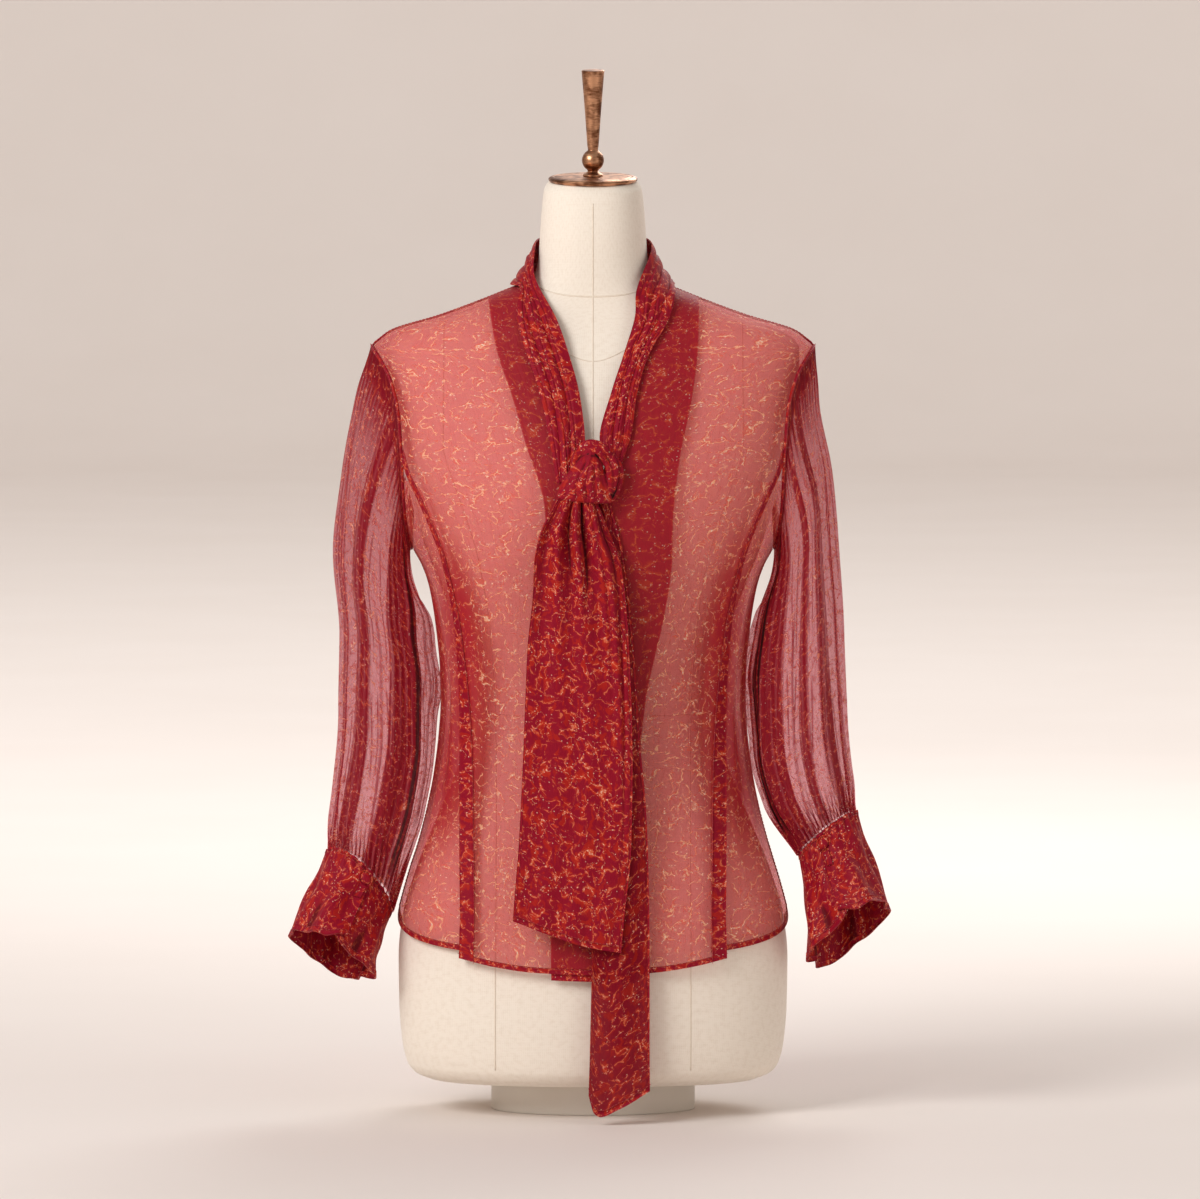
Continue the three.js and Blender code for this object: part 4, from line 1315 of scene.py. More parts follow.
def shirt_point(turn: Array, z: Array, out: Array | float = 0.0, fine: bool = True) -> Array:
    """Points of the blouse's body, moved out from the middle of its cloth.

    Args:
        turn: Turn round the body.
        z: Height.
        out: Distance outwards.
        fine: True for the finer creases too.

    Returns:
        The points.
    """
    step = 0.5
    turn, z = np.broadcast_arrays(np.asarray(turn, float), np.asarray(z, float))
    round_it = SHIRT.point(turn + step, z) - SHIRT.point(turn - step, z)
    high = np.minimum(SHIRT.high, z + step)
    low = np.maximum(SHIRT.low, z - step)
    up = SHIRT.point(turn, high) - SHIRT.point(turn, low)
    normal = unit(np.cross(round_it, up))
    lift = np.asarray(out, float) + fold_height(turn, z, fine)
    return SHIRT.point(turn, z) + normal * lift[..., None]


def bunching(turn: Array, z: Array) -> Array:
    """How many layers of cloth gather on each other at the sides of the waist.

    Args:
        turn: Turn from the centre front, either way.
        z: Height.

    Returns:
        0 for one layer, up to 1 for a full stack.
    """
    height = smoothstep(z, 190, 320) * (1 - smoothstep(z, 440, 570))
    beside = smoothstep(turn, 46, 57) * (1 - smoothstep(turn, 88, 128))
    broad, narrow = np.cos(np.radians(11 * turn) + z / 55), np.cos(np.radians(29 * turn) - z / 30)
    strands = 0.80 + 0.2 * broad + 0.1 * narrow
    sliver = np.exp(-(((turn - 74 - 0.05 * (400 - z)) / 2.6) ** 2)) * smoothstep(z, 330, 400)
    return np.clip(height * beside * (strands - 0.6 * sliver), 0, 1)


def armhole_turn(z: Array, depth: Curve, front: bool) -> Array:
    """The front or back half of the armhole, as a turn at each height."""
    rise = np.clip((z - ARMHOLE_MIDDLE) / ARMHOLE_RISE, -1, 1)
    reach = ARMHOLE_REACH * np.sqrt(1 - rise * rise)
    turn = np.degrees(np.arccos((reach / depth(z)) ** (SQUARENESS / 2)))
    return turn if front else 180 - turn


def height_at(heights: Sequence[float], v: Array) -> Array:
    """The listed heights as one run from 0 to 1."""
    return np.interp(v * (len(heights) - 1), np.arange(len(heights)), heights)


def along_hem(z: Array, foot: float, hem: Array) -> Array:
    """Lowers or raises the lowest heights so that the foot follows the hem."""
    fade = np.maximum(0, 1 - (z - foot) / HEM_FADE)
    return z + (hem - foot) * fade * fade


def centre_lift(z: Array) -> Array:
    """The centre front lies over the side front along their lap."""
    return (CLOTH + LAP_GAP) * (1 - smoothstep(z, PRINCESS_TOP - 24, PRINCESS_TOP + 2))


def neck_ease(z: Array) -> Array:
    """Above the chest the centre front stands a little further out."""
    return NECK_EASE * smoothstep(z, SHOULDER_TIP, SHOULDER_TIP + 20)


def facing_edge(side: Side) -> Curve:
    """The outer edge of one facing."""
    return FACING_EDGES.curve("right" if side is Side.RIGHT else "left")


def centre_outer_turn(z: Array) -> Array:
    """Outer edge of a centre front: the lapped seam, then the armhole, then the shoulder seam."""
    lapped = SHIRT.turn_at(PRINCESS_X(z) + PRINCESS_LAP(z) / 2, z)
    armhole = armhole_turn(z, SHIRT.front, True)
    return np.where(z <= PRINCESS_TOP, lapped, np.where(z < SHOULDER_TIP, armhole, 90.0))


def centre_turns(side: Side, z: Array) -> tuple[Array, Array, Array]:
    """The lines that a centre front runs between.

    Args:
        side: The wearer's side.
        z: Height.

    Returns:
        The turns of its front edge, its facing's edge and its outer edge.
    """
    outer = centre_outer_turn(z)
    middle = np.minimum(SHIRT.turn_at(facing_edge(side)(z), z), outer - 6)
    return SHIRT.turn_at(FRONT_EDGE(z), z), middle, outer


# Stitches


@dataclass
class Stitching:
    """Rows of plain machine stitches, made by one Geometry Nodes tree."""

    finishes: Finishes
    pitch: float = 3.2
    length: float = 2.3
    radius: float = 0.22
    corners: int = 5
    rows: list[Array] = field(default_factory=list)

    def add(self, route: Array) -> None:
        """Keeps one row's route, in millimetres."""
        self.rows.append(np.asarray(route, float))

    def tree(self) -> Tree:
        """The tree: a small capped rod at even steps along each route."""
        tree = bpy.data.node_groups.new("stitch_rows", "GeometryNodeTree")
        face = tree.interface
        face.new_socket("Routes", in_out="INPUT", socket_type="NodeSocketGeometry")
        for name, value in (("Pitch", self.pitch), ("Length", self.length), ("Radius", self.radius)):
            face.new_socket(name, in_out="INPUT", socket_type="NodeSocketFloat").default_value = value * MM
        face.new_socket("Corners", in_out="INPUT", socket_type="NodeSocketInt").default_value = self.corners
        face.new_socket("Thread", in_out="INPUT", socket_type="NodeSocketMaterial")
        face.new_socket("Stitches", in_out="OUTPUT", socket_type="NodeSocketGeometry")
        given = add_node(tree, "NodeGroupInput")
        lines = add_node(tree, "GeometryNodeMeshToCurve", None, {"Mesh": given.outputs["Routes"]})
        steps = add_node(
            tree,
            "GeometryNodeResampleCurve",
            {"mode": "LENGTH"},
            {"Curve": lines.outputs[0], "Length": given.outputs["Pitch"]},
        )
        along = add_node(tree, "GeometryNodeInputTangent")
        turned = add_node(
            tree, "FunctionNodeAlignRotationToVector", {"axis": "Z"}, {"Vector": along.outputs[0]}
        )
        rod = add_node(
            tree,
            "GeometryNodeMeshCylinder",
            None,
            {
                "Vertices": given.outputs["Corners"],
                "Radius": given.outputs["Radius"],
                "Depth": given.outputs["Length"],
            },
        )
        placed = add_node(
            tree,
            "GeometryNodeInstanceOnPoints",
            None,
            {"Points": steps.outputs[0], "Instance": rod.outputs[0], "Rotation": turned.outputs[0]},
        )
        real = add_node(tree, "GeometryNodeRealizeInstances", None, {"Geometry": placed.outputs[0]})
        dressed = add_node(
            tree,
            "GeometryNodeSetMaterial",
            None,
            {"Geometry": real.outputs[0], "Material": given.outputs["Thread"]},
        )
        add_node(tree, "NodeGroupOutput", None, {0: dressed.outputs[0]})
        return tree

    def build(self) -> Piece:
        """Makes all rows as one plain mesh."""
        points = np.vstack(self.rows) * MM
        edges: list[tuple[int, int]] = []
        start = 0
        for row in self.rows:
            edges += [(start + i, start + i + 1) for i in range(len(row) - 1)]
            start += len(row)
        mesh = bpy.data.meshes.new("stitch_routes")
        mesh.from_pydata(points.tolist(), edges, [])
        routes = bpy.data.objects.new("stitch_routes", mesh)
        bpy.context.scene.collection.objects.link(routes)
        modifier = routes.modifiers.new("stitches", "NODES")
        modifier.node_group = self.tree()
        sockets = {
            item.name: item.identifier
            for item in modifier.node_group.interface.items_tree
            if item.in_out == "INPUT"
        }
        modifier[sockets["Pitch"]] = self.pitch * MM
        modifier[sockets["Length"]] = self.length * MM
        modifier[sockets["Radius"]] = self.radius * MM
        modifier[sockets["Corners"]] = self.corners
        modifier[sockets["Thread"]] = self.finishes.thread
        evaluated = routes.evaluated_get(bpy.context.evaluated_depsgraph_get())
        made = bpy.data.meshes.new_from_object(evaluated)
        routes.modifiers.remove(modifier)
        bpy.data.objects.remove(routes)
        made.name = "seam_stitches"
        if not made.materials:
            made.materials.append(self.finishes.thread)
        piece = bpy.data.objects.new("seam_stitches", made)
        bpy.context.scene.collection.objects.link(piece)
        attach(piece, "doubled_chiffon")
        log.info("stitches: %d rows, %d faces", len(self.rows), len(made.polygons))
        return piece


# Dress form


@dataclass
class DressForm:
    """The linen-covered torso, its seams, metal neck cap, finial and plinth."""

    finishes: Finishes
    sides: int = 128
    cap_tilt: float = 5.0
    cap_radius: float = 40.0
    cap_thickness: float = 5.0
    neck_axis_y: float = -8.25
    gap: float = 0.3
    finial_height: float = 95.0
    ball: float = 9.9
    plinth_half: float = 92.0
    plinth_depth: float = 56.0
    plinth_mid: float = 8.0
    plinth_height: float = 29.7

    def point(self, turn: Array, z: Array, out: float = 0.0) -> Array:
        """Points of the torso, with its top leaning as the cap does."""
        points = FORM.point(turn, z)
        lean = math.tan(math.radians(self.cap_tilt)) * smoothstep(z, 768, NECK_TOP)
        points[..., 2] += lean * (points[..., 1] - self.neck_axis_y)
        if out:
            flat = points * np.array([1.0, 1.0, 0.0])
            points = points + unit(flat) * out
        return points

    def torso(self) -> Piece:
        """The closed torso."""
        runs = ((30, 62, 24), (66, 826, 118), (828, NECK_TOP, 10))
        rows = np.concatenate([np.linspace(*run) for run in runs])
        turn = np.linspace(0, 360, self.sides, endpoint=False)
        grid = Grid(self.point(*np.meshgrid(turn, rows)), closed=True)
        if np.mean(np.sum(grid.normals() * grid.points * [1, 1, 0], -1)) < 0:
            grid = Grid(grid.points[:, ::-1], True)
        points, faces = capped(grid.points, grid.points[0].mean(axis=0), grid.points[-1].mean(axis=0))
        end_places = [points[n][:2] * MM for face in faces[-2 * self.sides :] for n in face]
        uv = np.vstack([grid.quads()[1].reshape(-1, 2), np.array(end_places)])
        return mesh_piece("torso_linen", points, faces, self.finishes.linen, uv)

    def seams(self) -> Piece:
        """Raised seams: centre front and back, princess lines, neck base and waist."""
        runs = []
        tall = np.linspace(46, 822, 190)
        for turn in (0.0, 180.0):
            route = self.point(np.full_like(tall, turn), tall)
            runs.append((route, route * [1, 1, 0], 0.75, 0.45))
        up_to_shoulder = np.linspace(46, 716, 150)
        for side in (-1, 1):
            for back in (False, True):
                x = PRINCESS_X(up_to_shoulder) * 0.78
                turn = FORM.turn_at(x, up_to_shoulder)
                turn = 180 - turn if back else turn
                route = self.point(side * turn, up_to_shoulder)
                runs.append((route, route * [1, 1, 0], 0.75, 0.42))
        turn = np.linspace(-180, 180, 180)
        neck_base = lerp(748, 736, (1 + cos_deg(turn)) / 2) + 9 * sin_deg(turn) ** 2
        base = self.point(turn, neck_base)
        runs.append((base, base * [1, 1, 0], 0.9, 0.5))
        waist = self.point(turn, np.full_like(turn, FORM_WAIST))
        runs.append((waist, waist * [1, 1, 0], 0.7, 0.35))
        across = np.linspace(-34, 34, 150)
        dip = 679 + 25 * (1 - np.exp(-((self.point(across, np.full_like(across, 690.0))[:, 0] / 40) ** 2)))
        chest = self.point(across, dip)
        runs.append((chest, chest * [1, 1, 0], 0.6, 0.3))
        return tube_piece("torso_seams", runs, self.finishes.seam, 8)

    def on_neck(self, points: Array) -> Array:
        """Takes upright points about the axis to the tilted top of the neck."""
        tilt = math.radians(self.cap_tilt)
        x, y, z = points.T
        return np.stack(
            [
                x,
                y * math.cos(tilt) - z * math.sin(tilt) + self.neck_axis_y,
                y * math.sin(tilt) + z * math.cos(tilt) + NECK_TOP + self.gap,
            ],
            -1,
        )

    def cap(self) -> Piece:
        """The disc cap, with a rounded rim and a shallow turned step."""
        r, t = self.cap_radius, self.cap_thickness
        outline = rounded_outline(
            [
                (0, 0, 0),
                (r - 1.6, 0, 0.6),
                (r - 1.2, 0.4, 0.2),
                (r, 1.9, 1.2),
                (r - 0.2, 3.6, 1.0),
                (r - 3.4, t - 0.1, 1.4),
                (r - 5.5, t - 0.35, 0.5),
                (r - 6.6, t, 0.5),
                (12, t, 1.0),
                (0, t, 0),
            ]
        )
        return lathe("neck_cap_turned", outline, 128, self.on_neck, self.finishes.metal)

    def finial(self) -> Piece:
        """The flared foot, ball and tapered rod."""
        foot = 5.0
        middle = foot + self.ball * 0.92
        angle = np.linspace(-1.0, 1.05, 18)
        ball = [(self.ball * math.cos(a), middle + self.ball * math.sin(a), 0) for a in angle]
        top = middle + self.ball * 0.9
        outline = rounded_outline(
            [
                (0, 0, 0),
                (9, 0, 0.3),
                (9, 1.3, 0.5),
                (6.6, 2.8, 0.9),
                (4.6, 4.3, 0.5),
                *ball,
                (4.5, top + 0.8, 0.3),
                (5.1, top + 4, 1.5),
                (7.2, top + 34, 4),
                (10.1, self.finial_height - 2, 0.8),
                (10.3, self.finial_height - 0.7, 0.5),
                (9.6, self.finial_height, 0.3),
                (0, self.finial_height, 0),
            ]
        )

        def place(points: Array) -> Array:
            """Stands the finial on the cap."""
            return self.on_neck(points + [0, 0, self.cap_thickness + self.gap])

        return lathe("finial_turned", outline, 72, place, self.finishes.metal)

    def plinth(self) -> Piece:
        """The low oval plinth, with a small round along its edges."""
        turn = np.linspace(0, 360, 128, endpoint=False)
        edge = 1.2
        rows = [(0.0, edge), (0.35, 0.35), (edge, 0.0), (self.plinth_height - edge, 0.0)]
        rows += [(self.plinth_height - 0.35, 0.35), (self.plinth_height, edge)]
        rings = [
            np.stack(
                [
                    (self.plinth_half - inset) * sin_deg(turn),
                    self.plinth_mid - (self.plinth_depth - inset) * cos_deg(turn),
                    np.full_like(turn, z),
                ],
                -1,
            )
            for z, inset in rows
        ]
        ends = ([0, self.plinth_mid, 0], [0, self.plinth_mid, self.plinth_height])
        points, faces = capped(np.array(rings), *ends)
        piece = mesh_piece("plinth_oval", points, faces, self.finishes.plinth)
        recalculated(piece)
        return piece

    def build(self) -> None:
        pairs = (
            (self.torso(), "form_body", "linen_cover"),
            (self.cap(), "neck_cap", "bronzed_metal"),
            (self.finial(), "finial", "bronzed_metal"),
            (self.plinth(), "plinth", "painted_wood"),
        )
        for piece, node, slot in pairs:
            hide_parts(node)
            attach(piece, slot)
        attach(self.seams(), "linen_cover")
        log.info("dress form: torso, seams, cap, finial and plinth")


# Blouse body


def dress(
    piece: Piece,
    node: str,
    slot: str,
    trims: Sequence[Piece] = (),
) -> None:
    """Fixes a cut piece of cloth and its trims to the body, and hides the solid that it replaces.

    Args:
        piece: The cloth.
        node: The solid that it replaces.
        slot: The record's material slot; not used.
        trims: Hems, bands and buttons on it.
    """
    for each in (piece, *trims):
        attach(each, slot)
    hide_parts(node)


def drape(
    piece: Piece,
    node: str,
    trims: Sequence[Piece],
) -> None:
    """Fixes a sheer panel that hangs over the form to the body, as dress does; what it takes is what dress
    takes.
    """
    dress(piece, node, "sheer_chiffon", trims)


@dataclass
class BlouseBody:
    """Centre fronts, side fronts, back and facings, with their hems and seams."""

    finishes: Finishes
    stitching: Stitching
    front_columns: int = 90
    front_rows: int = 210

    def centre_surface(self, side: Side, drop: float = 0.0, fine: bool = True) -> Surface:
        """The centre front's cloth, u from its front edge outwards.

        Args:
            side: The wearer's side.
            drop: Distance that the cloth lies inside.
            fine: True for the finer creases too.

        Returns:
            The surface.
        """
        share = 3 / 8

        def surface(u: Array, v: Array) -> Array:
            """Points by u and v."""
            level = height_at(BODY_HEIGHTS, v)
            inner, middle, outer = centre_turns(side, level)
            near = lerp(inner, middle, u / share)
            far = lerp(middle, outer, (u - share) / (1 - share))
            turn = np.where(u < share, near, far)
            z = along_hem(level, BODY_HEIGHTS[0], CENTRE_HEM(turn))
            points = shirt_point(side.value * turn, z, centre_lift(z) + neck_ease(z) - drop, fine)
            points[..., 1] -= SIDE_SEAM / 2
            return points

        return surface

    def side_surface(self, side: Side, fine: bool = True) -> Surface:
        """The side front's cloth, u from the lapped seam to the side seam."""

        def surface(u: Array, v: Array) -> Array:
            """Points by u and v."""
            level = height_at(SIDE_HEIGHTS, v)
            inner = SHIRT.turn_at(PRINCESS_X(level) - PRINCESS_LAP(level) / 2, level)
            outer = np.where(level <= UNDERARM, 90.0, armhole_turn(level, SHIRT.front, True))
            turn = lerp(inner, outer, u)
            z = along_hem(level, SIDE_HEIGHTS[0], SIDE_HEM(turn))
            points = shirt_point(side.value * turn, z, 0.0, fine)
            points[..., 1] -= SIDE_SEAM / 2
            return points

        return surface

    def back_surface(self, fine: bool = True) -> Surface:
        """The back's cloth, u from the +X side seam round to the other."""

        def surface(u: Array, v: Array) -> Array:
            """Points by u and v."""
            level = height_at(BACK_HEIGHTS, v)
            hole = (level > UNDERARM) & (level < SHOULDER_TIP)
            outer = np.where(hole, armhole_turn(level, SHIRT.back, False), 90.0)
            turn = lerp(outer, 360 - outer, u)
            from_front = np.where(turn > 180, 360 - turn, turn)
            z = along_hem(level, BACK_HEIGHTS[0], BACK_HEM(from_front))
            points = shirt_point(wrapped(turn), z, 0.0, fine)
            points[..., 1] += SIDE_SEAM / 2
            return points

        return surface

    def facing_surface(self, side: Side) -> Surface:
        """The facing's cloth, inside the centre front."""
        inset = (CLOTH + FACING) / 2 + FACING_GAP

        def surface(u: Array, v: Array) -> Array:
            """Points by u and v."""
            level = height_at(BODY_HEIGHTS, v)
            inner, middle, _ = centre_turns(side, level)
            turn = lerp(inner, middle, u)
            z = along_hem(level, BODY_HEIGHTS[0], CENTRE_HEM(turn) - FACING_BELOW_HEM)
            points = shirt_point(side.value * turn, z, centre_lift(z) - inset)
            points[..., 1] -= SIDE_SEAM / 2
            return points

        return surface

    def panel(
        self,
        name: str,
        surface: Surface,
        plain: Surface,
        columns: int,
        rows: int,
        material: Material,
    ) -> Piece:
        """One layer of cloth, darker where its folds stand steep, which is painted shade.

        Args:
            name: The object's name.
            surface: The cloth with all its folds.
            plain: The same without its finer creases.
            columns: Steps across.
            rows: Steps along.
            material: The finish.

        Returns:
            The object.
        """
        u, v = grid_of(columns, rows)
        points = surface(u, v)
        axis = points * [0, 0, 1]
        steep = 1 - np.abs(np.sum(Grid(points).normals() * Grid(plain(u, v)).normals(), -1))
        turn = np.degrees(np.arctan2(np.abs(points[..., 0]), -points[..., 1]))
        # Painted shade on the steep flanks of folds, and the layers that gather at the waist
        layers = np.maximum(0.55 * smoothstep(steep, 0.004, 0.08), bunching(turn, points[..., 2]))
        if name.startswith("centre"):
            side = Side.RIGHT if points[..., 0].mean() < 0 else Side.LEFT
            over_facing = np.abs(points[..., 0]) < facing_edge(side)(points[..., 2])
            layers = np.maximum(layers, 1.0 * over_facing)
        return Grid(points, fold=layers).facing_from(axis).sheet(name, material)

    def stitch(self, points: Array, lift: float) -> None:
        """One row of stitches along the inner edge of a strip."""
        self.stitching.add(Grid(points).facing_from(points * [0, 0, 1]).moved_out(lift).points[-1])

    def hem(self, name: str, surface: Surface, count: int, stitched: int, reach: float) -> Piece:
        """The rolled hem at a panel's foot, with its stitches.

        Args:
            name: The object's name.
            surface: The panel's cloth.
            count: Steps along the hem.
            stitched: Steps along the stitches.
            reach: Share of the cloth that is searched for the hem's upper line.

        Returns:
            The hem.
        """
        self.stitch(edge_strip(surface, Edge.FOOT, HEM_ROLL - 0.7, stitched, 1, reach), 0.5)
        return self.trim(name, edge_strip(surface, Edge.FOOT, HEM_ROLL, count, 3, reach))

    def trim(self, name: str, points: Array, thickness: float = 0.8, lift: float = 0.0) -> Piece:
        """A doubled strip: a rolled hem, band or seam allowance.

        Args:
            name: The object's name.
            points: The strip's points.
            thickness: Its thickness.
            lift: How far out it lies.

        Returns:
            The object.
        """
        grid = Grid(points).facing_from(points * [0, 0, 1]).moved_out(lift)
        return grid.shell(name, thickness, self.finishes.doubled)

    def fronts(self, side: Side) -> None:
        """One centre front with its facing, side front, bands and hems."""
        word = side.name.lower()
        surface = self.centre_surface(side)
        cloth = self.panel(
            f"centre_front_{word}_cloth",
            surface,
            self.centre_surface(side, fine=False),
            self.front_columns,
            self.front_rows,
            self.finishes.sheer,
        )
        hem = self.hem(f"centre_front_{word}_hem", surface, 120, 240, 0.08)
        top = float(np.interp(PRINCESS_TOP, BODY_HEIGHTS, np.linspace(0, 1, len(BODY_HEIGHTS))))
        level = height_at(BODY_HEIGHTS, np.linspace(0, top, 170))
        outer = centre_outer_turn(level)
        width = np.clip(PRINCESS_LAP(level), 4, 13)
        inner = SHIRT.turn_at(PRINCESS_X(level) + PRINCESS_LAP(level) / 2 - width, level)
        share = np.linspace(0, 1, 7)[:, None]
        turn = lerp(outer, inner, share)
        z = along_hem(np.broadcast_to(level, turn.shape), BODY_HEIGHTS[0], CENTRE_HEM(turn))
        band_points = shirt_point(side.value * turn, z, centre_lift(z))
        band_points[..., 1] -= SIDE_SEAM / 2
        band = self.trim(f"princess_band_{word}", band_points, 0.7, 0.45)
        self.stitch(band_points, 0.95)
        drape(cloth, f"centre_front_{word}", [hem, band])
        facing = Grid(self.facing_surface(side)(*grid_of(26, self.front_rows)))
        facing = facing.facing_from(facing.points * [0, 0, 1])
        inside = facing.sheet(f"facing_{word}_cloth", self.finishes.facing)
        dress(inside, f"facing_{word}", "doubled_chiffon")
        side_surface = self.side_surface(side)
        side_cloth = self.panel(
            f"side_front_{word}_cloth",
            side_surface,
            self.side_surface(side, fine=False),
            56,
            130,
            self.finishes.sheer,
        )
        side_hem = self.hem(f"side_front_{word}_hem", side_surface, 90, 120, 0.12)
        drape(side_cloth, f"side_front_{word}", [side_hem])

    def seams(self) -> None:
        """Narrow doubled seams over the shoulders and down the sides."""
        runs = []
        for side in Side:
            tall = np.linspace(186, UNDERARM - 3, 150)
            route = shirt_point(np.full_like(tall, 90.0 * side.value), tall, 0.0)
            runs.append((route, route * [1, 1, 0], 3.4, 0.55))
            self.stitching.add(route + unit(route * [1, 1, 0]) * 0.7 + [0, 2.2, 0])
            slope = np.linspace(SHOULDER_TIP + 1, NECKLINE - 1, 110)
            route = shirt_point(np.full_like(slope, 90.0 * side.value), slope, 0.9)
            up = np.tile([0.35 * side.value, 0.0, 1.0], (len(slope), 1))
            runs.append((route, up, 2.6, 0.9))
            self.stitching.add(route + unit(up) * 1.0 + [0, -2.0, 0])
            self.stitching.add(route + unit(up) * 1.0 + [0, 2.0, 0])
        piece = tube_piece("body_seams", runs, self.finishes.doubled, 10)
        attach(piece, "doubled_chiffon")

    def neck_binding(self) -> None:
        """The narrow bound edge that joins the back neck to the collar."""
        turn = np.linspace(92, 268, 120)
        route = shirt_point(wrapped(turn), np.full_like(turn, NECKLINE - 0.5), 0.3)
        up = np.tile([0.0, 0.0, 1.0], (len(turn), 1))
        piece = tube_piece("neck_binding", [(route, up, 1.0, 1.8)], self.finishes.doubled, 8)
        attach(piece, "doubled_chiffon")

    def back(self) -> None:
        """The back with its hem."""
        surface = self.back_surface()
        cloth = self.panel(
            "back_cloth", surface, self.back_surface(fine=False), 210, 150, self.finishes.sheer
        )
        hem = self.hem("back_hem", surface, 260, 360, 0.12)
        drape(cloth, "back", [hem])

    def build(self) -> None:
        """Builds the blouse's body."""
        for side in Side:
            self.fronts(side)
        self.back()
        self.seams()
        self.neck_binding()
        log.info("blouse body: fronts, side fronts, facings, back, hems and seams")


# Sleeves and cuffs


SECTION_COLUMNS = ("midX", "midY", "midZ", "outX", "outZ", "foreX", "foreY", "foreZ")
SLEEVE_COLUMNS = "s midX midY midZ outX outZ foreX foreY foreZ"


class ArmSections:
    """Oval sections along an arm: a middle, a vector to the outer edge and one to the front edge."""

    def __init__(self, table: Table) -> None:
        """Takes the curves of each column along the sleeve."""
        self.curves = {name: table.curve(name, "s") for name in SECTION_COLUMNS}

    def at(self, s: Array | float) -> dict[str, Array]:
        """The section's values at s."""
        return {name: curve(s) for name, curve in self.curves.items()}


def section_point(section: Mapping[str, Array | float], side: Side, angle: Array) -> Array:
    """Points of a section: 0 at its outer edge, 90 at its front edge."""
    out, fore = cos_deg(angle), sin_deg(angle)
    x = side.value * (section["midX"] + out * section["outX"] + fore * section["foreX"])
    y = section["midY"] + fore * section["foreY"]
    z = section["midZ"] + out * section["outZ"] + fore * section["foreZ"]
    return np.stack(np.broadcast_arrays(x, y, z), -1)


RIGHT_SLEEVE = Table(
    SLEEVE_COLUMNS,
    [
        (0.0, 181, 0, 599, 19, 90, 0, -60, 0),
        (0.1, 188, 0, 565, 25, 75, 0, -58, 0),
        (0.22, 191.5, 0, 519, 31.5, 57, 0, -56, 0),
        (0.36, 191.5, 0, 465, 38.5, 41, 0, -54, 0),
        (0.52, 185.5, 0, 403, 39, 27, 0, -53, 0),
        (0.67, 185.5, -3, 343, 40.5, 18, 0, -51, 2),
        (0.82, 192.5, -8, 283, 39, 14, -1, -49, 6),
        (0.93, 203, -14, 238, 33.5, 18, -4, -43, 12),
        (1.0, 210, -18, 208, 28, 28, -7, -33, 16),
    ],
)
LEFT_SLEEVE = Table(
    SLEEVE_COLUMNS,
    [
        (0.0, 181, 0, 599, 19, 90, 0, -60, 0),
        (0.1, 182.5, 0, 566, 19.5, 74, 0, -58, 0),
        (0.23, 186, 0, 520, 26, 57, 0, -56, 0),
        (0.38, 184, 0, 466, 33.5, 41, 0, -54, 0),
        (0.55, 182.5, 0, 405, 40, 27, 0, -53, 0),
        (0.73, 184.5, -4, 340, 41.5, 17, 0, -51, 1),
        (0.88, 193.5, -9, 290, 38, 14, -1, -46, 4),
        (1.0, 211, -14, 251, 25, 20.5, -5, -34, 6),
    ],
)
RIGHT_CUFF = dict(zip(SECTION_COLUMNS, (234.5, -50, 145, 35, 19, -3, -43, 18)))
LEFT_CUFF = dict(zip(SECTION_COLUMNS, (229, -48, 164, 36, 25, 0, -43, 22)))

# Stacks of folds along a sleeve: the angles between which each lies at mid length, how far it leans
# and spreads along the sleeve, the stretch it runs along and how deep it is stacked; above 1 the
# layers shade each other to near black
STACK_COLUMNS = "low high lean spread start end layers"
RIGHT_STACKS = Table(
    STACK_COLUMNS,
    [
        (48, 70, -20, 14, 0.03, 0.99, 0.85),
        (97, 133, -24, 10, 0.05, 1.02, 0.95),
        (127, 136, -8, 3, 0.10, 0.98, 1.60),
        (13, 18, 6, 4, 0.20, 0.90, 0.60),
        (31, 34, -10, 3, 0.35, 1.00, 0.55),
        (82, 86, 8, 2, 0.45, 1.00, 0.70),
        (158, 163, 5, 4, 0.25, 0.85, 0.70),
        (226, 262, 22, 8, 0.05, 1.00, 0.95),
        (294, 310, 20, 8, 0.05, 1.00, 0.90),
        (192, 200, 6, 4, 0.10, 1.00, 0.80),
        (338, 345, -5, 4, 0.15, 0.95, 0.70),
    ],
)
LEFT_STACKS = Table(
    STACK_COLUMNS,
    [
        (43, 57, -6, 4, 0.08, 1.02, 0.80),
        (75, 86, 6, 3, 0.12, 1.00, 0.85),
        (109, 136, -4, 4, 0.05, 1.02, 0.95),
        (135, 158, 6, 4, 0.08, 0.97, 1.75),
        (17, 21, 8, 3, 0.25, 0.95, 0.55),
        (30, 33, -8, 2, 0.40, 1.00, 0.50),
        (64, 67, -12, 2, 0.30, 0.90, 0.55),
        (94, 97, 10, 2, 0.45, 1.00, 0.65),
        (208, 250, 4, 6, 0.05, 1.00, 0.95),
        (276, 285, -6, 4, 0.05, 1.00, 0.85),
        (304, 316, 6, 4, 0.10, 1.00, 0.90),
        (336, 342, 5, 4, 0.15, 0.95, 0.70),
    ],
)


# Steps that strew creases evenly, as leaves stand round a stem
SPREAD_EVENLY = 0.618
GOLDEN_ANGLE = 137.5

# How far loose folds on the inner side of a sleeve hang towards the waist
INNER_FULLNESS = Table(
    "s out",
    [
        (0.14, 0),
        (0.20, 2.5),
        (0.25, 6.5),
        (0.30, 9.5),
        (0.38, 10),
        (0.47, 9.5),
        (0.53, 8),
        (0.58, 4.5),
        (0.63, 2.5),
        (0.70, 0.4),
        (0.80, 0),
        (1.00, 0),
    ],
).curve("out", "s")


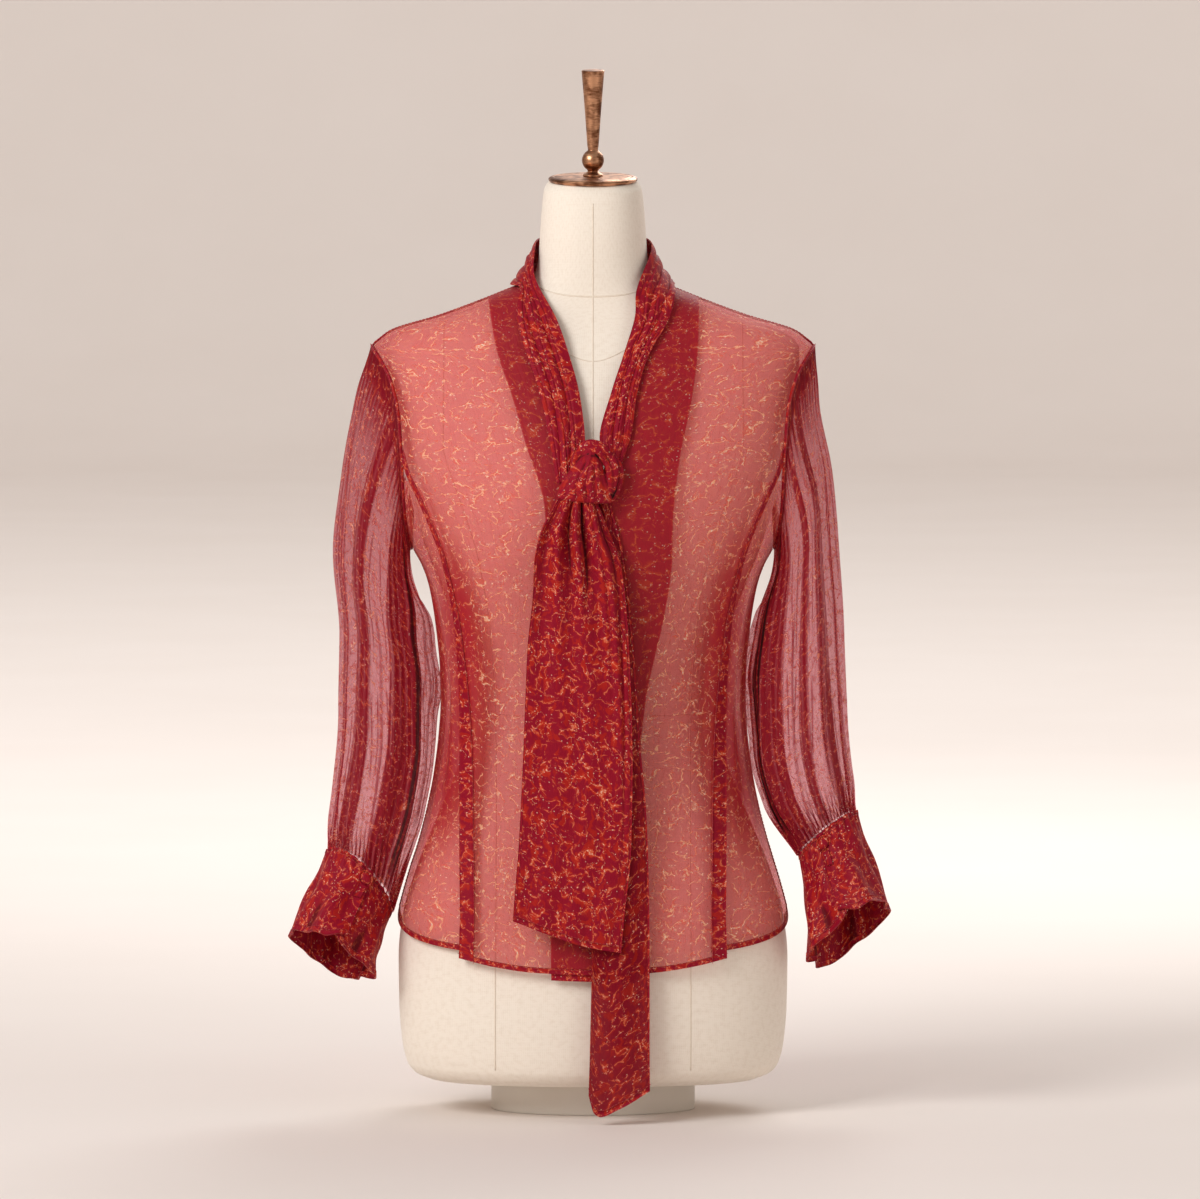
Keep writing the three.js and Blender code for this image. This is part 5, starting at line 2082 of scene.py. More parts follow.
def armhole_point(side: Side, angle: Array) -> Array:
    """The armhole's edge, by the angle round it."""
    z = ARMHOLE_MIDDLE + ARMHOLE_RISE * cos_deg(angle)
    front = sin_deg(angle) >= 0
    turn = np.where(front, armhole_turn(z, SHIRT.front, True), armhole_turn(z, SHIRT.back, False))
    points = shirt_point(side.value * turn, z, 0.0, False)
    points[..., 0] += side.value * ARMHOLE_OUT
    return points


@dataclass
class Sleeve:
    """One full sleeve, gathered lightly at its head and closely into its cuff."""

    finishes: Finishes
    stitching: Stitching
    side: Side
    table: Table
    stacks: Table
    columns: int = 360
    rows: int = 150
    stray_creases: int = 34
    folds: int = 10
    fold_depth: float = 2.7
    slow_folds: int = 5
    slow_depth: float = 1.8
    to_cuff: float = 1.7
    stack_height: float = 0.9
    stray_depth: float = 0.6
    stray_width: float = 0.9
    head_gathers: int = 46
    head_gather_depth: float = 0.9
    cuff_gathers: int = 58
    cuff_gather_depth: float = 1.2
    seam_lift: float = 2.8

    def smooth(self, s: Array, angle: Array) -> Array:
        """The sleeve without folds."""
        sections = ArmSections(self.table)
        first, last = sections.at(0.0), sections.at(1.0)
        axis = np.cross(
            [self.side.value * float(last["outX"]), 0, float(last["outZ"])],
            [self.side.value * float(last["foreX"]), float(last["foreY"]), float(last["foreZ"])],
        )
        axis = unit(axis) * (1 if axis[2] > 0 else -1)
        head = (1 - smoothstep(s, 0, 0.3))[..., None]
        to_armhole = armhole_point(self.side, angle) - section_point(first, self.side, angle)
        points = section_point(sections.at(s), self.side, angle) + to_armhole * head
        return points + axis * (self.to_cuff * smoothstep(s, 0.9, 1))[..., None]

    def main_folds(self, s: Array, angle: Array) -> Array:
        """The folds that the solid has."""
        gather = 0.3 + 0.7 * smoothstep(s, 0, 0.35) - 0.7 * smoothstep(s, 0.88, 1)
        uneven = 0.75 + 0.25 * np.sin(np.radians(2 * angle) + 3 * s)
        phase = np.radians(self.folds * angle) + 0.9 * sin_deg(angle) + 1.2 * s
        slow = np.cos(np.radians(self.slow_folds * angle) + 2 * s)
        inner = np.exp(-((wrapped(angle - 180) / 38) ** 2))
        folds = self.fold_depth * uneven * np.cos(phase) + self.slow_depth * slow
        return INNER_FULLNESS(s) * inner + gather * folds

    def creases(self, s: Array, angle: Array) -> tuple[Array, Array]:
        """The stacks of folds, stray creases and gathers.

        Returns:
            How far they stand out, and how many layers they stack, with painted shade along the stray
            creases, in the cuff gathers' hollows and along the head.
        """
        height = np.zeros_like(angle)
        layers = np.zeros_like(angle)
        strand = np.sin(np.radians(47 * angle) + 7 * s + 1.5 * sin_deg(5 * angle))
        streak = 0.74 + 0.34 * smoothstep(strand, -0.3, 0.3)
        for row in self.stacks.rows():
            along = s - 0.5
            wave = 1.6 * np.sin(6 * s + row["low"])
            low = row["low"] + (row["lean"] - row["spread"] / 2) * along + wave
            high = row["high"] + (row["lean"] + row["spread"] / 2) * along + wave
            run = smoothstep(s, row["start"] - 0.1, row["start"])
            run = run * (1 - smoothstep(s, row["end"] - 0.05, row["end"] + 0.06))
            mask = smoothstep(angle, low - 0.7, low + 0.7) * (1 - smoothstep(angle, high - 0.7, high + 0.7))
            height = height + self.stack_height * run * mask
            layers = np.maximum(layers, row["layers"] * run * mask * streak)
        for k in range(self.stray_creases):
            start = 0.1 + 0.6 * ((SPREAD_EVENLY * k) % 1)
            reach = 0.16 + 0.14 * ((0.377 * k) % 1)
            end = start + reach
            run = smoothstep(s, start, start + 0.05) * (1 - smoothstep(s, end, end + 0.06))
            lean = (16 if k % 2 else -12) * (s - start) + 2 * np.sin(9 * s + k)
            away = wrapped(angle - GOLDEN_ANGLE * k - lean)
            line = run * np.exp(-((away / self.stray_width) ** 2))
            height = height - self.stray_depth * line
            # Painted shade along each stray crease
            layers = np.maximum(layers, 0.9 * line)
        head = 1 - smoothstep(s, 0.0, 0.13)
        foot = smoothstep(s, 0.84, 1.0)
        wavering = angle + 4 * np.sin(np.radians(3 * angle) + 4 * s)
        at_head, at_cuff = cos_deg(self.head_gathers * wavering), cos_deg(self.cuff_gathers * wavering)
        height = height + self.head_gather_depth * head * at_head
        height = height + self.cuff_gather_depth * foot * at_cuff
        # Painted shade in the cuff gathers' hollows and along the head's seam, near black at its edge, and
        # layers gathered at the head
        gathered = (
            1.2 * foot * smoothstep(-at_cuff, 0.2, 0.9),
            (1 - smoothstep(s, 0.02, 0.2)) * (0.35 + 0.75 * smoothstep(at_head, -0.2, 0.7)),
            1.25 * (1 - smoothstep(s, 0.02, 0.07)),
            0.8 * (1 - smoothstep(s, 0.0, 0.022)),
        )
        layers = np.maximum.reduce([layers, *gathered])
        return height, layers

    def grid(self) -> Grid:
        """The sleeve's cloth as a closed ring of columns."""
        u, v = grid_of(self.columns, self.rows, closed=True)
        angle = 360 * u
        plain = Grid(self.smooth(v, angle), closed=True)
        middle = plain.points.mean(axis=1, keepdims=True)
        normal = plain.normals()
        if np.mean(np.sum(normal * (plain.points - middle), -1)) < 0:
            normal = -normal
        fade = smoothstep(v, 0, 0.08)
        fine, layers = self.creases(v, angle)
        height = self.main_folds(v, angle) * fade + fine * np.maximum(fade, 0.35)
        points = plain.points + normal * height[..., None]
        return Grid(points, True, layers).facing_from(points.mean(axis=1, keepdims=True))

    def build(self) -> None:
        word = self.side.name.lower()
        grid = self.grid()
        cloth = grid.sheet(f"sleeve_{word}_cloth", self.finishes.sheer_sleeve)
        angle = np.linspace(0, 360, 220)
        ring = armhole_point(self.side, angle)
        ring[..., 0] -= self.side.value * ARMHOLE_OUT / 2
        away = ring - ring.mean(axis=0)
        seam = tube_piece(f"armhole_seam_{word}", [(ring, unit(away), 1.5, 2.6)], self.finishes.doubled)
        self.stitching.add(ring + unit(away) * self.seam_lift + [self.side.value * 0.9, 0, 0])
        dress(cloth, f"sleeve_{word}", "sheer_chiffon", [seam])
        log.info("sleeve %s", word)


@dataclass
class Cuff:
    """One deep flared cuff, its ends lapped and held by a covered button and a loop."""

    finishes: Finishes
    stitching: Stitching
    side: Side
    seam: Mapping[str, float]
    edge: Mapping[str, float]
    flute_shift: float
    lap: float = 24.0
    start: float = 78.0
    spread: float = 3.2
    flutes: int = 4
    flute_depth: float = 4.2
    soft_depth: float = 1.9
    slanting_depth: float = 1.3
    gathers: int = 26
    gather_depth: float = 1.0
    wall: float = 0.9
    corner: float = 0.12
    button_radius: float = 5.5
    button_place: float = 0.14
    button_lift: float = 1.25

    def surface(self, fine: bool = True) -> Surface:
        """The cuff's cloth: u round it, v from the gathered seam to the hem."""

        def points_at(u: Array, v: Array) -> Array:
            """Points by u and v."""
            angle = self.start + (360 + self.lap) * u
            near_end = np.minimum(u, 1 - u)
            along = v * (1 - self.corner * (1 - smoothstep(near_end, 0, 0.07)))
            flare = along**1.25
            section = {
                name: lerp(self.seam[name], self.edge[name], along if name.startswith("mid") else flare)
                for name in SECTION_COLUMNS
            }
            points = section_point(section, self.side, angle)
            middle = (self.side.value * section["midX"], section["midY"], section["midZ"])
            outward = unit(points - np.stack(np.broadcast_arrays(*middle), -1))
            flute = self.flute_depth * along**2 * np.cos(np.radians(self.flutes * angle + self.flute_shift))
            lift = flute + self.spread * (u - 0.5)
            if fine:
                soft = self.soft_depth * np.cos(np.radians(9 * angle + 60 * along) + 2 * along)
                soft = soft - 0.9 * np.abs(np.sin(np.radians(7 * angle) + 1.4 * along))
                close = self.gather_depth * cos_deg(self.gathers * angle) * (1 - smoothstep(along, 0, 0.3))
                diagonal = self.slanting_depth * np.sin(np.radians(5 * angle) - 7 * along)
                lift = lift + (soft + diagonal) * smoothstep(along, 0.05, 0.5) + close
            return points + outward * lift[..., None]

        return points_at

    def frame_at(self, u: float, v: float) -> tuple[Array, Array, Array, Array]:
        """A point of the cuff, with its outward, round and down directions."""
        surface = self.surface()

        def value(a: float, b: float) -> Array:
            """One point."""
            return surface(np.array([a]), np.array([b]))[0]

        centre = value(u, v)
        round_it = unit(value(u + 0.01, v) - value(u - 0.01, v))
        down = unit(value(u, v + 0.05) - value(u, v - 0.05))
        across = centre - value(u - 180 / (360 + self.lap), v)
        out = unit(np.cross(down, round_it))
        out = out if np.dot(out, across) > 0 else -out
        return centre, out, round_it, down

    def button(self) -> Piece:
        """The covered button: a domed disc with its cloth drawn in at the rim."""
        centre, out, round_it, down = self.frame_at(0.98, self.button_place)
        r = self.button_radius
        outline = rounded_outline(
            [
                (0, 0, 0),
                (r * 0.7, 0, 0.4),
                (r * 0.95, 0.5, 0.4),
                (r, 1.4, 0.6),
                (r * 0.9, 2.5, 0.9),
                (r * 0.6, 3.7, 1.2),
                (0, 4.2, 0),
            ]
        )

        def place(points: Array) -> Array:
            """Sets the button on the cuff."""
            x, y, z = points.T
            pulled = 1 + 0.03 * np.cos(9 * np.arctan2(y, x)) * (z < 2)
            base = centre + out * self.button_lift
            return base + np.outer(x * pulled, round_it) + np.outer(y * pulled, down) + np.outer(z, out)

        word = self.side.name.lower()
        return lathe(f"cuff_{word}_covered_button", outline, 48, place, self.finishes.knot)

    def loop_and_tab(self) -> tuple[Piece, Piece]:
        """The thread loop over the button, and the short tab below it."""
        centre, out, round_it, down = self.frame_at(0.98, self.button_place)
        word = self.side.name.lower()
        r = self.button_radius + 0.9
        angle = np.linspace(-0.75 * math.pi, 0.75 * math.pi, 40)
        lift = 2.4 - 0.9 * np.abs(angle / angle[0]) ** 3
        bow = np.outer(r * np.sin(angle), round_it) - np.outer(r * np.cos(angle), down)
        route = centre + bow + np.outer(lift, out)
        upwards = np.tile(out, (len(route), 1))
        loop = tube_piece(f"cuff_{word}_loop", [(route, upwards, 0.75, 0.75)], self.finishes.knot)
        u = np.linspace(0.965, 0.992, 8)
        v = np.linspace(self.button_place + 0.1, self.button_place + 0.27, 12)
        grid = Grid(self.surface()(*np.meshgrid(u, v)))
        base = self.surface()(np.array([0.5]), np.array([0.2]))[0]
        grid = grid.facing_from((centre + base) / 2).moved_out(1.3)
        tab = grid.shell(f"cuff_{word}_tab", 1.0, self.finishes.doubled)
        return loop, tab

    def build(self) -> None:
        word = self.side.name.lower()
        surface = self.surface()
        u, v = grid_of(200, 44)
        points = surface(u, v)
        middle = points.mean(axis=1, keepdims=True)
        # Painted shade in the hollows between the flutes, near black in the deepest
        layers = 1.5 * hollows(points, unit(points - middle), 9, 0.5, 3.0)
        cloth = Grid(points, fold=layers).facing_from(middle)
        cloth = cloth.shell(f"cuff_{word}_cloth", self.wall, self.finishes.doubled)
        hem_points = edge_strip(surface, Edge.HEAD, HEM_ROLL, 230, 3, 0.2)
        hem = Grid(hem_points).facing_from(middle[-1:]).shell(f"cuff_{word}_hem", 1.7, self.finishes.doubled)
        top_points = edge_strip(surface, Edge.FOOT, 3.2, 230, 2, 0.2)
        top = Grid(top_points).facing_from(middle[:1]).shell(f"cuff_{word}_seam", 2.0, self.finishes.doubled)
        for edge, width, centre in ((Edge.HEAD, HEM_ROLL + 0.8, middle[-1:]), (Edge.FOOT, 4.2, middle[:1])):
            strip = Grid(edge_strip(surface, edge, width, 230, 1, 0.2)).facing_from(centre)
            self.stitching.add(strip.moved_out(0.65).points[-1])
        loop, tab = self.loop_and_tab()
        trims = [hem, top, loop, tab]
        dress(
            cloth, f"cuff_{word}", "doubled_chiffon", trims
        )
        button = self.button()
        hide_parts(f"cuff_{word}_button")
        attach(button, "doubled_chiffon")
        log.info("cuff %s with button, loop and tab", word)


# Tie collar


# The knot's strands: half width, then the points that each passes
KNOT_STRANDS = (
    (5.0, (-15, -133, 590), (-11, -138, 601.5), (-2, -141.5, 608.5), (8, -140, 605), (15.5, -136, 594)),
    (3.4, (-12, -134, 586), (-8, -139.5, 597), (-1, -143, 604), (6.5, -142, 600), (12.5, -139, 589)),
    (4.4, (10, -135, 603), (17.5, -137.5, 593), (18.5, -139.5, 580), (15.5, -140, 568), (12, -138, 560)),
    (3.8, (15, -132, 600), (22.5, -133.5, 590), (23.5, -134.5, 577), (20, -135, 566), (15, -135, 558)),
    (3.0, (9, -137, 598), (13.5, -141.5, 588), (15, -143, 578), (14.5, -142.5, 568), (12, -140, 561)),
    (7.0, (-27, -136, 566), (-12, -138, 571), (2, -139, 573), (12, -138, 570), (18, -135, 565)),
)

# From a hanging end to where its wrong side faces
BEHIND = np.array([0.0, 100.0, 0.0])

COLLAR = Section(
    Table(
        "z half front back",
        [
            (733, 94, 60, 70),
            (744, 75.5, 61.5, 66),
            (756, 60.5, 60, 58),
            (770, 54.8, 59.5, 53.5),
            (789, 50.2, 58, 48.5),
        ],
    )
)


@dataclass
class TieCollar:
    """The neck stretch, the knot and the two ends of one long doubled tie."""

    finishes: Finishes
    stitching: Stitching
    lift: float = 4.3
    arch: float = 3.2
    width: float = 46.0
    rolls: int = 3
    roll_depth: float = 1.6
    thickness: float = 1.0
    hem_thickness: float = 1.7
    side_hem: float = 2.2
    sag: float = 2.6
    knot_voxel: float = 0.72
    knot_y: float = -139.5
    folds: Table = field(
        default_factory=lambda: Table(
            "place drift start width depth",
            [
                (0.30, -0.04, 0.10, 0.030, 0.9),
                (0.52, 0.06, 0.30, 0.024, 0.8),
                (0.84, 0.02, 0.10, 0.030, 1.0),
            ],
        )
    )
    right_rows: tuple[tuple[float, ...], ...] = (
        (9, 577, 31, 572),
        (7, 610, 38, 610),
        (12, 650, 48, 652),
        (21, 683, 61, 690),
        (31.5, 713, 67, 719),
    )
    left_rows: tuple[tuple[float, ...], ...] = (
        (37, 738, 71, 733),
        (37, 717, 66, 712),
        (27, 683, 50, 684),
        (16, 650, 39, 650),
        (6, 611, 33, 613),
        (11, 597, 25, 590),
    )
    round_rows: tuple[tuple[float, ...], ...] = (
        (-55, 754, 743),
        (-78, 776, 745),
        (-105, 785, 745),
        (-135, 787, 745.5),
        (-165, 788, 746),
        (-195, 788, 746),
        (-225, 787, 745.5),
        (-255, 785, 745),
        (-282, 776, 745),
    )

    def chest_point(self, side: Side, x: float, z: float) -> Array:
        """A point over the centre front."""
        at = np.array([z], float)
        turn = side.value * SHIRT.turn_at(x, at)
        return shirt_point(turn, at, self.lift + centre_lift(at) + neck_ease(at), False)[0]

    def edges(self) -> tuple[RoundedPath, RoundedPath]:
        """The inner and outer edges of the neck stretch, from the knot round and back to it."""
        inner: list[Array] = []
        outer: list[Array] = []
        for ix, iz, ox, oz in self.right_rows:
            inner.append(self.chest_point(Side.RIGHT, ix, iz))
            outer.append(self.chest_point(Side.RIGHT, ox, oz))
        for turn, iz, oz in self.round_rows:
            inner.append(COLLAR.point(turn, iz))
            outer.append(COLLAR.point(turn, oz))
        for ix, iz, ox, oz in self.left_rows:
            inner.append(self.chest_point(Side.LEFT, ix, iz))
            outer.append(self.chest_point(Side.LEFT, ox, oz))
        return RoundedPath(np.array(inner)), RoundedPath(np.array(outer))

    def creases(self, u: Array, v: Array) -> tuple[Array, Array]:
        """The neck stretch's lengthwise folds, each a roll with a sharp valley beside it.

        Args:
            u: Place across.
            v: Place along.

        Returns:
            How far they stand out, and how many layers shade each other in the valleys.
        """
        height = np.zeros(np.broadcast(u, v).shape)
        layers = np.zeros_like(height)
        for row in self.folds.rows():
            to_knot = np.abs(2 * v - 1)
            place = row["place"] + row["drift"] * to_knot + 0.02 * np.sin(11 * v + 9 * row["place"])
            near = smoothstep(to_knot, row["start"], row["start"] + 0.25)
            away = (u - place) / row["width"]
            valley = np.exp(-(away**2))
            roll = np.exp(-((away - 1.5) ** 2) / 0.9)
            height = height + near * row["depth"] * (0.8 * roll - valley)
            layers = np.maximum(layers, near * (0.5 + 0.35 * row["depth"]) * np.exp(-((away / 0.6) ** 2)))
        return height, layers

    def roll_phase(self, u: Array, v: Array) -> Array:
        """Where the neck stretch's rolls lie; a valley wherever its cosine is nought."""
        return np.pi * self.rolls * u + 1.1 * np.sin(9 * v) + 0.5 * np.sin(17 * v)

    def neck_surface(self) -> Surface:
        """The neck stretch with its lengthwise rolls, u across it and v along it."""
        inner, outer = self.edges()

        def surface(u: Array, v: Array) -> Array:
            """Points by u and v."""
            start, end = inner(v), outer(v)
            across = end - start
            step = 0.004
            ahead, behind = np.minimum(1, v + step), np.maximum(0, v - step)
            share = u[..., None]
            along = lerp(inner(ahead), outer(ahead), share) - lerp(inner(behind), outer(behind), share)
            normal = unit(np.cross(across, along))
            bulge = np.sin(np.pi * u) * lerp(0.35, 1, smoothstep(u, 0, 0.45))
            high = lerp(self.arch, -self.sag, np.sin(np.pi * v) ** 0.8)
            deep = self.roll_depth * np.minimum(1, np.linalg.norm(across, axis=-1) / self.width)
            rolls = np.abs(np.cos(self.roll_phase(u, v))) ** 0.7 - 0.4
            rolls = rolls * (2.6 - 1.5 * np.sin(np.pi * v) ** 2)
            rise = high * bulge + (deep * rolls + self.creases(u, v)[0]) * np.sqrt(np.maximum(bulge, 0))
            return lerp(start, end, share) - normal * rise[..., None]

        return surface

    def end_surface(
        self, rows: Table, hem: Curve, folds: float, creases: Table, bow: float = 2.5
    ) -> Surface:
        """A hanging end, u across it and v down it.

        Args:
            rows: Edges, depth and fold depth at each height.
            hem: Height of the hem across the end.
            folds: Main folds across it.
            creases: Finer folds, with columns u, top, bottom, drift, width and depth.
            bow: How far its middle bows out.

        Returns:
            The surface.
        """
        left, right, depth, fold = (rows.curve(name) for name in ("left", "right", "y", "fold"))

        def surface(u: Array, v: Array) -> Array:
            """Points by u and v."""
            z = lerp(TIE_TOP, hem(u), v**0.85)
            wave = np.cos(2 * np.pi * folds * u + 1.1 * np.sin(z / 70))
            out = bow * np.sin(np.pi * u) + fold(z) * wave
            for row in creases.rows():
                along = np.clip((z - row["bottom"]) / (row["top"] - row["bottom"]), 0, 1)
                run = smoothstep(along, 0, 0.6) * (1 - 0.5 * smoothstep(along, 0.9, 1))
                away = u - row["u"] - row["drift"] * (1 - along)
                out = out + row["depth"] * run * np.exp(-((away / row["width"]) ** 2))
            x = lerp(left(z), right(z), u)
            return np.stack([x, depth(z) - out, z], -1)

        return surface

    def wide_surface(self) -> Surface:
        """The wide end, in front."""
        rows = Table(
            "z left right y fold",
            [
                (155, -72, 25, -127, 0.8),
                (184, -71, 27.5, -127.5, 0.9),
                (253, -65.7, 34, -128.5, 0.6),
                (325, -62, 35, -130, 0.6),
                (375, -60, 34, -131.5, 0.8),
                (431, -57.6, 31.5, -134, 1.4),
                (475, -53, 28.5, -137, 2.4),
                (505, -51.5, 24, -139.5, 3.4),
                (530, -46, 14, -141, 4.0),
                (551, -36, 6, -142, 2.2),
                (562, -30, 2, -142, 1.4),
            ],
        )
        hem = Table("u z", [(0, 184), (0.36, 171), (0.68, 161), (1, 155.5)]).curve("z", "u")
        creases = Table(
            "u top bottom drift width depth",
            [
                (0.07, 560, 470, -0.02, 0.05, 1.2),
                (0.18, 560, 440, 0.05, 0.045, -2.2),
                (0.28, 560, 470, -0.02, 0.05, 1.6),
                (0.40, 560, 460, 0.03, 0.035, -2.2),
                (0.50, 560, 420, 0.02, 0.05, 2.2),
                (0.62, 562, 440, -0.05, 0.035, -6.0),
                (0.70, 560, 450, 0.03, 0.04, 2.6),
                (0.79, 560, 330, 0.05, 0.022, -2.2),
                (0.86, 560, 300, 0.04, 0.03, 1.6),
                (0.90, 560, 270, 0.03, 0.018, -2.2),
                (0.93, 480, 150, 0.00, 0.014, -1.6),
            ],
        )
        return self.end_surface(rows, hem, 3.5, creases)

    def long_surface(self) -> Surface:
        """The long end, behind the wide one."""
        rows = Table(
            "z left right y fold",
            [
                (5, -4.5, 51, -119, 0.8),
                (68, -2.7, 50.5, -118.5, 1.2),
                (158, -1, 50.4, -119, 1.5),
                (219, -1, 49.5, -119.5, 1.6),
                (281, -2, 47, -120, 1.7),
                (343, -3, 41.5, -121.5, 1.8),
                (430, -3, 36, -125.5, 1.6),
                (500, -2, 29, -129, 1.2),
                (551, 1, 17, -130.5, 0.9),
                (562, 2, 14, -130.5, 0.8),
            ],
        )
        hem = Table("u z", [(0, 27), (0.1, 11), (0.2, 8), (0.5, 15), (1, 31)]).curve("z", "u")
        creases = Table(
            "u top bottom drift width depth",
            [
                (0.30, 540, 120, 0.05, 0.04, -0.7),
                (0.55, 380, 40, -0.05, 0.05, 0.8),
                (0.80, 500, 150, 0.03, 0.04, -0.6),
            ],
        )
        return self.end_surface(rows, hem, 1.5, creases)

    def end_piece(
        self,
        node: str,
        surface: Surface,
        columns: int,
        rows: int,
        material: Material,
    ) -> None:
        """One hanging end with its rolled hems.

        Args:
            node: The solid that it replaces.
            surface: The cloth.
            columns: Steps across.
            rows: Steps down.
            material: The finish.
        """
        name = f"{node}_cloth"
        u, v = grid_of(columns, rows)
        points = surface(u, v)
        behind = points + BEHIND
        forward = np.array([0.0, -1.0, 0.0])
        # Painted shade in the hollows of the end's folds
        layers = 0.8 * hollows(points, forward, 3, 0.4, 1.6) + 0.8 * hollows(points, forward, 9, 0.8, 4.0)
        cloth = Grid(points, fold=layers).facing_from(behind).shell(name, self.thickness, material)
        trims = []
        sides = [(edge, self.side_hem, 240, 0.2) for edge in (Edge.START, Edge.END)]
        for edge, width, count, reach in [(Edge.HEAD, HEM_ROLL, 120, 0.06), *sides]:
            strip = edge_strip(surface, edge, width, count, 2, reach)
            grid = Grid(strip).facing_from(strip + BEHIND)
            trims.append(grid.shell(f"{name}_{edge.value}", self.hem_thickness, self.finishes.doubled))
        strip = Grid(edge_strip(surface, Edge.HEAD, HEM_ROLL + 0.8, 160, 1, 0.06))
        self.stitching.add(strip.facing_from(strip.points + BEHIND).moved_out(0.7).points[-1])
        dress(cloth, node, "doubled_chiffon", trims)

    def neck(self) -> None:
        """The neck stretch."""
        surface = self.neck_surface()
        u, v = grid_of(84, 240)
        inside = np.array([0.0, 0.0, 660.0])
        points = surface(u, v)
        out = Grid(points).facing_from(inside).normals()
        # Painted shade along the rolls' valleys, in the creases and in the hollows
        valley = np.exp(-((np.cos(self.roll_phase(u, v)) / 0.15) ** 2)) * (0.6 + 0.4 * np.abs(2 * v - 1))
        layers = np.maximum(self.creases(u, v)[1], 1.5 * hollows(points, out, 4, 0.35, 1.4))
        layers = np.maximum(layers, 1.35 * valley)
        grid = Grid(points, fold=layers).facing_from(inside)
        cloth = grid.shell("collar_neck_cloth", self.thickness, self.finishes.doubled)
        dress(cloth, "collar_neck", "doubled_chiffon")

    def joined(self, name: str, parts: Sequence[Piece]) -> Piece:
        """Several meshes as one object.

        Args:
            name: The new object's name.
            parts: The objects, which are removed.

        Returns:
            The object.
        """
        points: list[Array] = []
        faces: list[list[int]] = []
        for part in parts:
            start = sum(len(p) for p in points)
            flat = np.empty(3 * len(part.data.vertices))
            part.data.vertices.foreach_get("co", flat)
            points.append(flat.reshape(-1, 3) / MM)
            faces += [[v + start for v in face.vertices] for face in part.data.polygons]
            bpy.data.objects.remove(part)
        return mesh_piece(name, np.vstack(points), faces, self.finishes.knot)

    def wrap(self) -> tuple[Array, list[list[int]]]:
        """The band wrapped round the knot: pinched at the top, pleated and fanned at the bottom.

        Returns:
            Points and faces of its closed form.
        """
        band = Table(
            "t left left_z right right_z depth",
            [
                (0.0, -5.5, 601.5, 3.6, 600.5, 5.5),
                (0.2, -12.5, 594.5, 7.4, 592.5, 9.0),
                (0.4, -20.5, 585.5, 10.6, 582.6, 11.5),
                (0.6, -27.5, 575.0, 14.0, 572.6, 12.2),
                (0.8, -31.2, 566.5, 16.6, 563.6, 11.0),
                (0.93, -31.6, 562.0, 17.2, 558.4, 8.6),
                (1.0, -29.0, 561.0, 15.6, 557.0, 4.5),
            ],
        )
        t = np.linspace(0, 1, 46)[:, None]
        angle = np.linspace(0, 2 * np.pi, 96, endpoint=False)[None, :]
        left, left_z, right, right_z, depth = (
            band.curve(name, "t")(t) for name in ("left", "left_z", "right", "right_z", "depth")
        )
        u = (1 - np.cos(angle)) / 2
        x = lerp(left, right, u)
        z = lerp(left_z, right_z, u)
        front = np.maximum(np.sin(angle), 0)
        pleat = np.abs(np.sin(np.pi * (5.2 * u + 0.35 * np.sin(3 * t)))) ** 0.55 - 0.6
        sweep = np.abs(np.sin(np.pi * (3.1 * u - 1.3 * t + 0.3))) ** 0.5 - 0.6
        swell = 2.6 * pleat * smoothstep(t, 0.02, 0.3) + 1.4 * sweep * (1 - smoothstep(t, 0.7, 1))
        back = np.where(np.sin(angle) < 0, 0.5, 1.0)
        y = self.knot_y - depth * np.sin(angle) * back - swell * np.sqrt(front)
        z = z - 2.2 * front * smoothstep(t, 0.55, 1.0)
        points = np.stack(np.broadcast_arrays(x, y, z), -1)
        return capped(points, points[0].mean(axis=0), points[-1].mean(axis=0))

    def knot(self) -> None:
        """The gathered knot: a loop, side rolls and the wrapped band, grown together."""
        runs = []
        t = np.linspace(0, 1, 44)
        for radius, *points in KNOT_STRANDS:
            route = RoundedPath(points)(t)
            out = np.tile([0.0, -1.0, 0.0], (len(t), 1))
            swell = radius * (0.7 + 0.3 * np.sin(np.pi * t)) * (1 + 0.06 * np.cos(17 * t))
            runs.append((route, out, swell, swell * 0.72))
        rolls = tube_piece("knot_rolls", runs, self.finishes.knot, 20)
        wrapped_band = mesh_piece("knot_band", *self.wrap(), self.finishes.knot)
        recalculated(wrapped_band)
        piece = self.joined("collar_knot_gathered", (rolls, wrapped_band))
        remesh = piece.modifiers.new("grown_together", "REMESH")
        remesh.mode = "VOXEL"
        remesh.voxel_size = self.knot_voxel * MM
        remesh.use_smooth_shade = True
        soften = piece.modifiers.new("softened", "SMOOTH")
        soften.factor = 0.4
        soften.iterations = 1
        evaluated = piece.evaluated_get(bpy.context.evaluated_depsgraph_get())
        made = bpy.data.meshes.new_from_object(evaluated)
        piece.modifiers.clear()
        old = piece.data
        piece.data = made
        bpy.data.meshes.remove(old)
        if not made.materials:
            made.materials.append(self.finishes.knot)
        self.shade_gaps(piece)
        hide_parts("collar_knot")
        attach(piece, "doubled_chiffon")

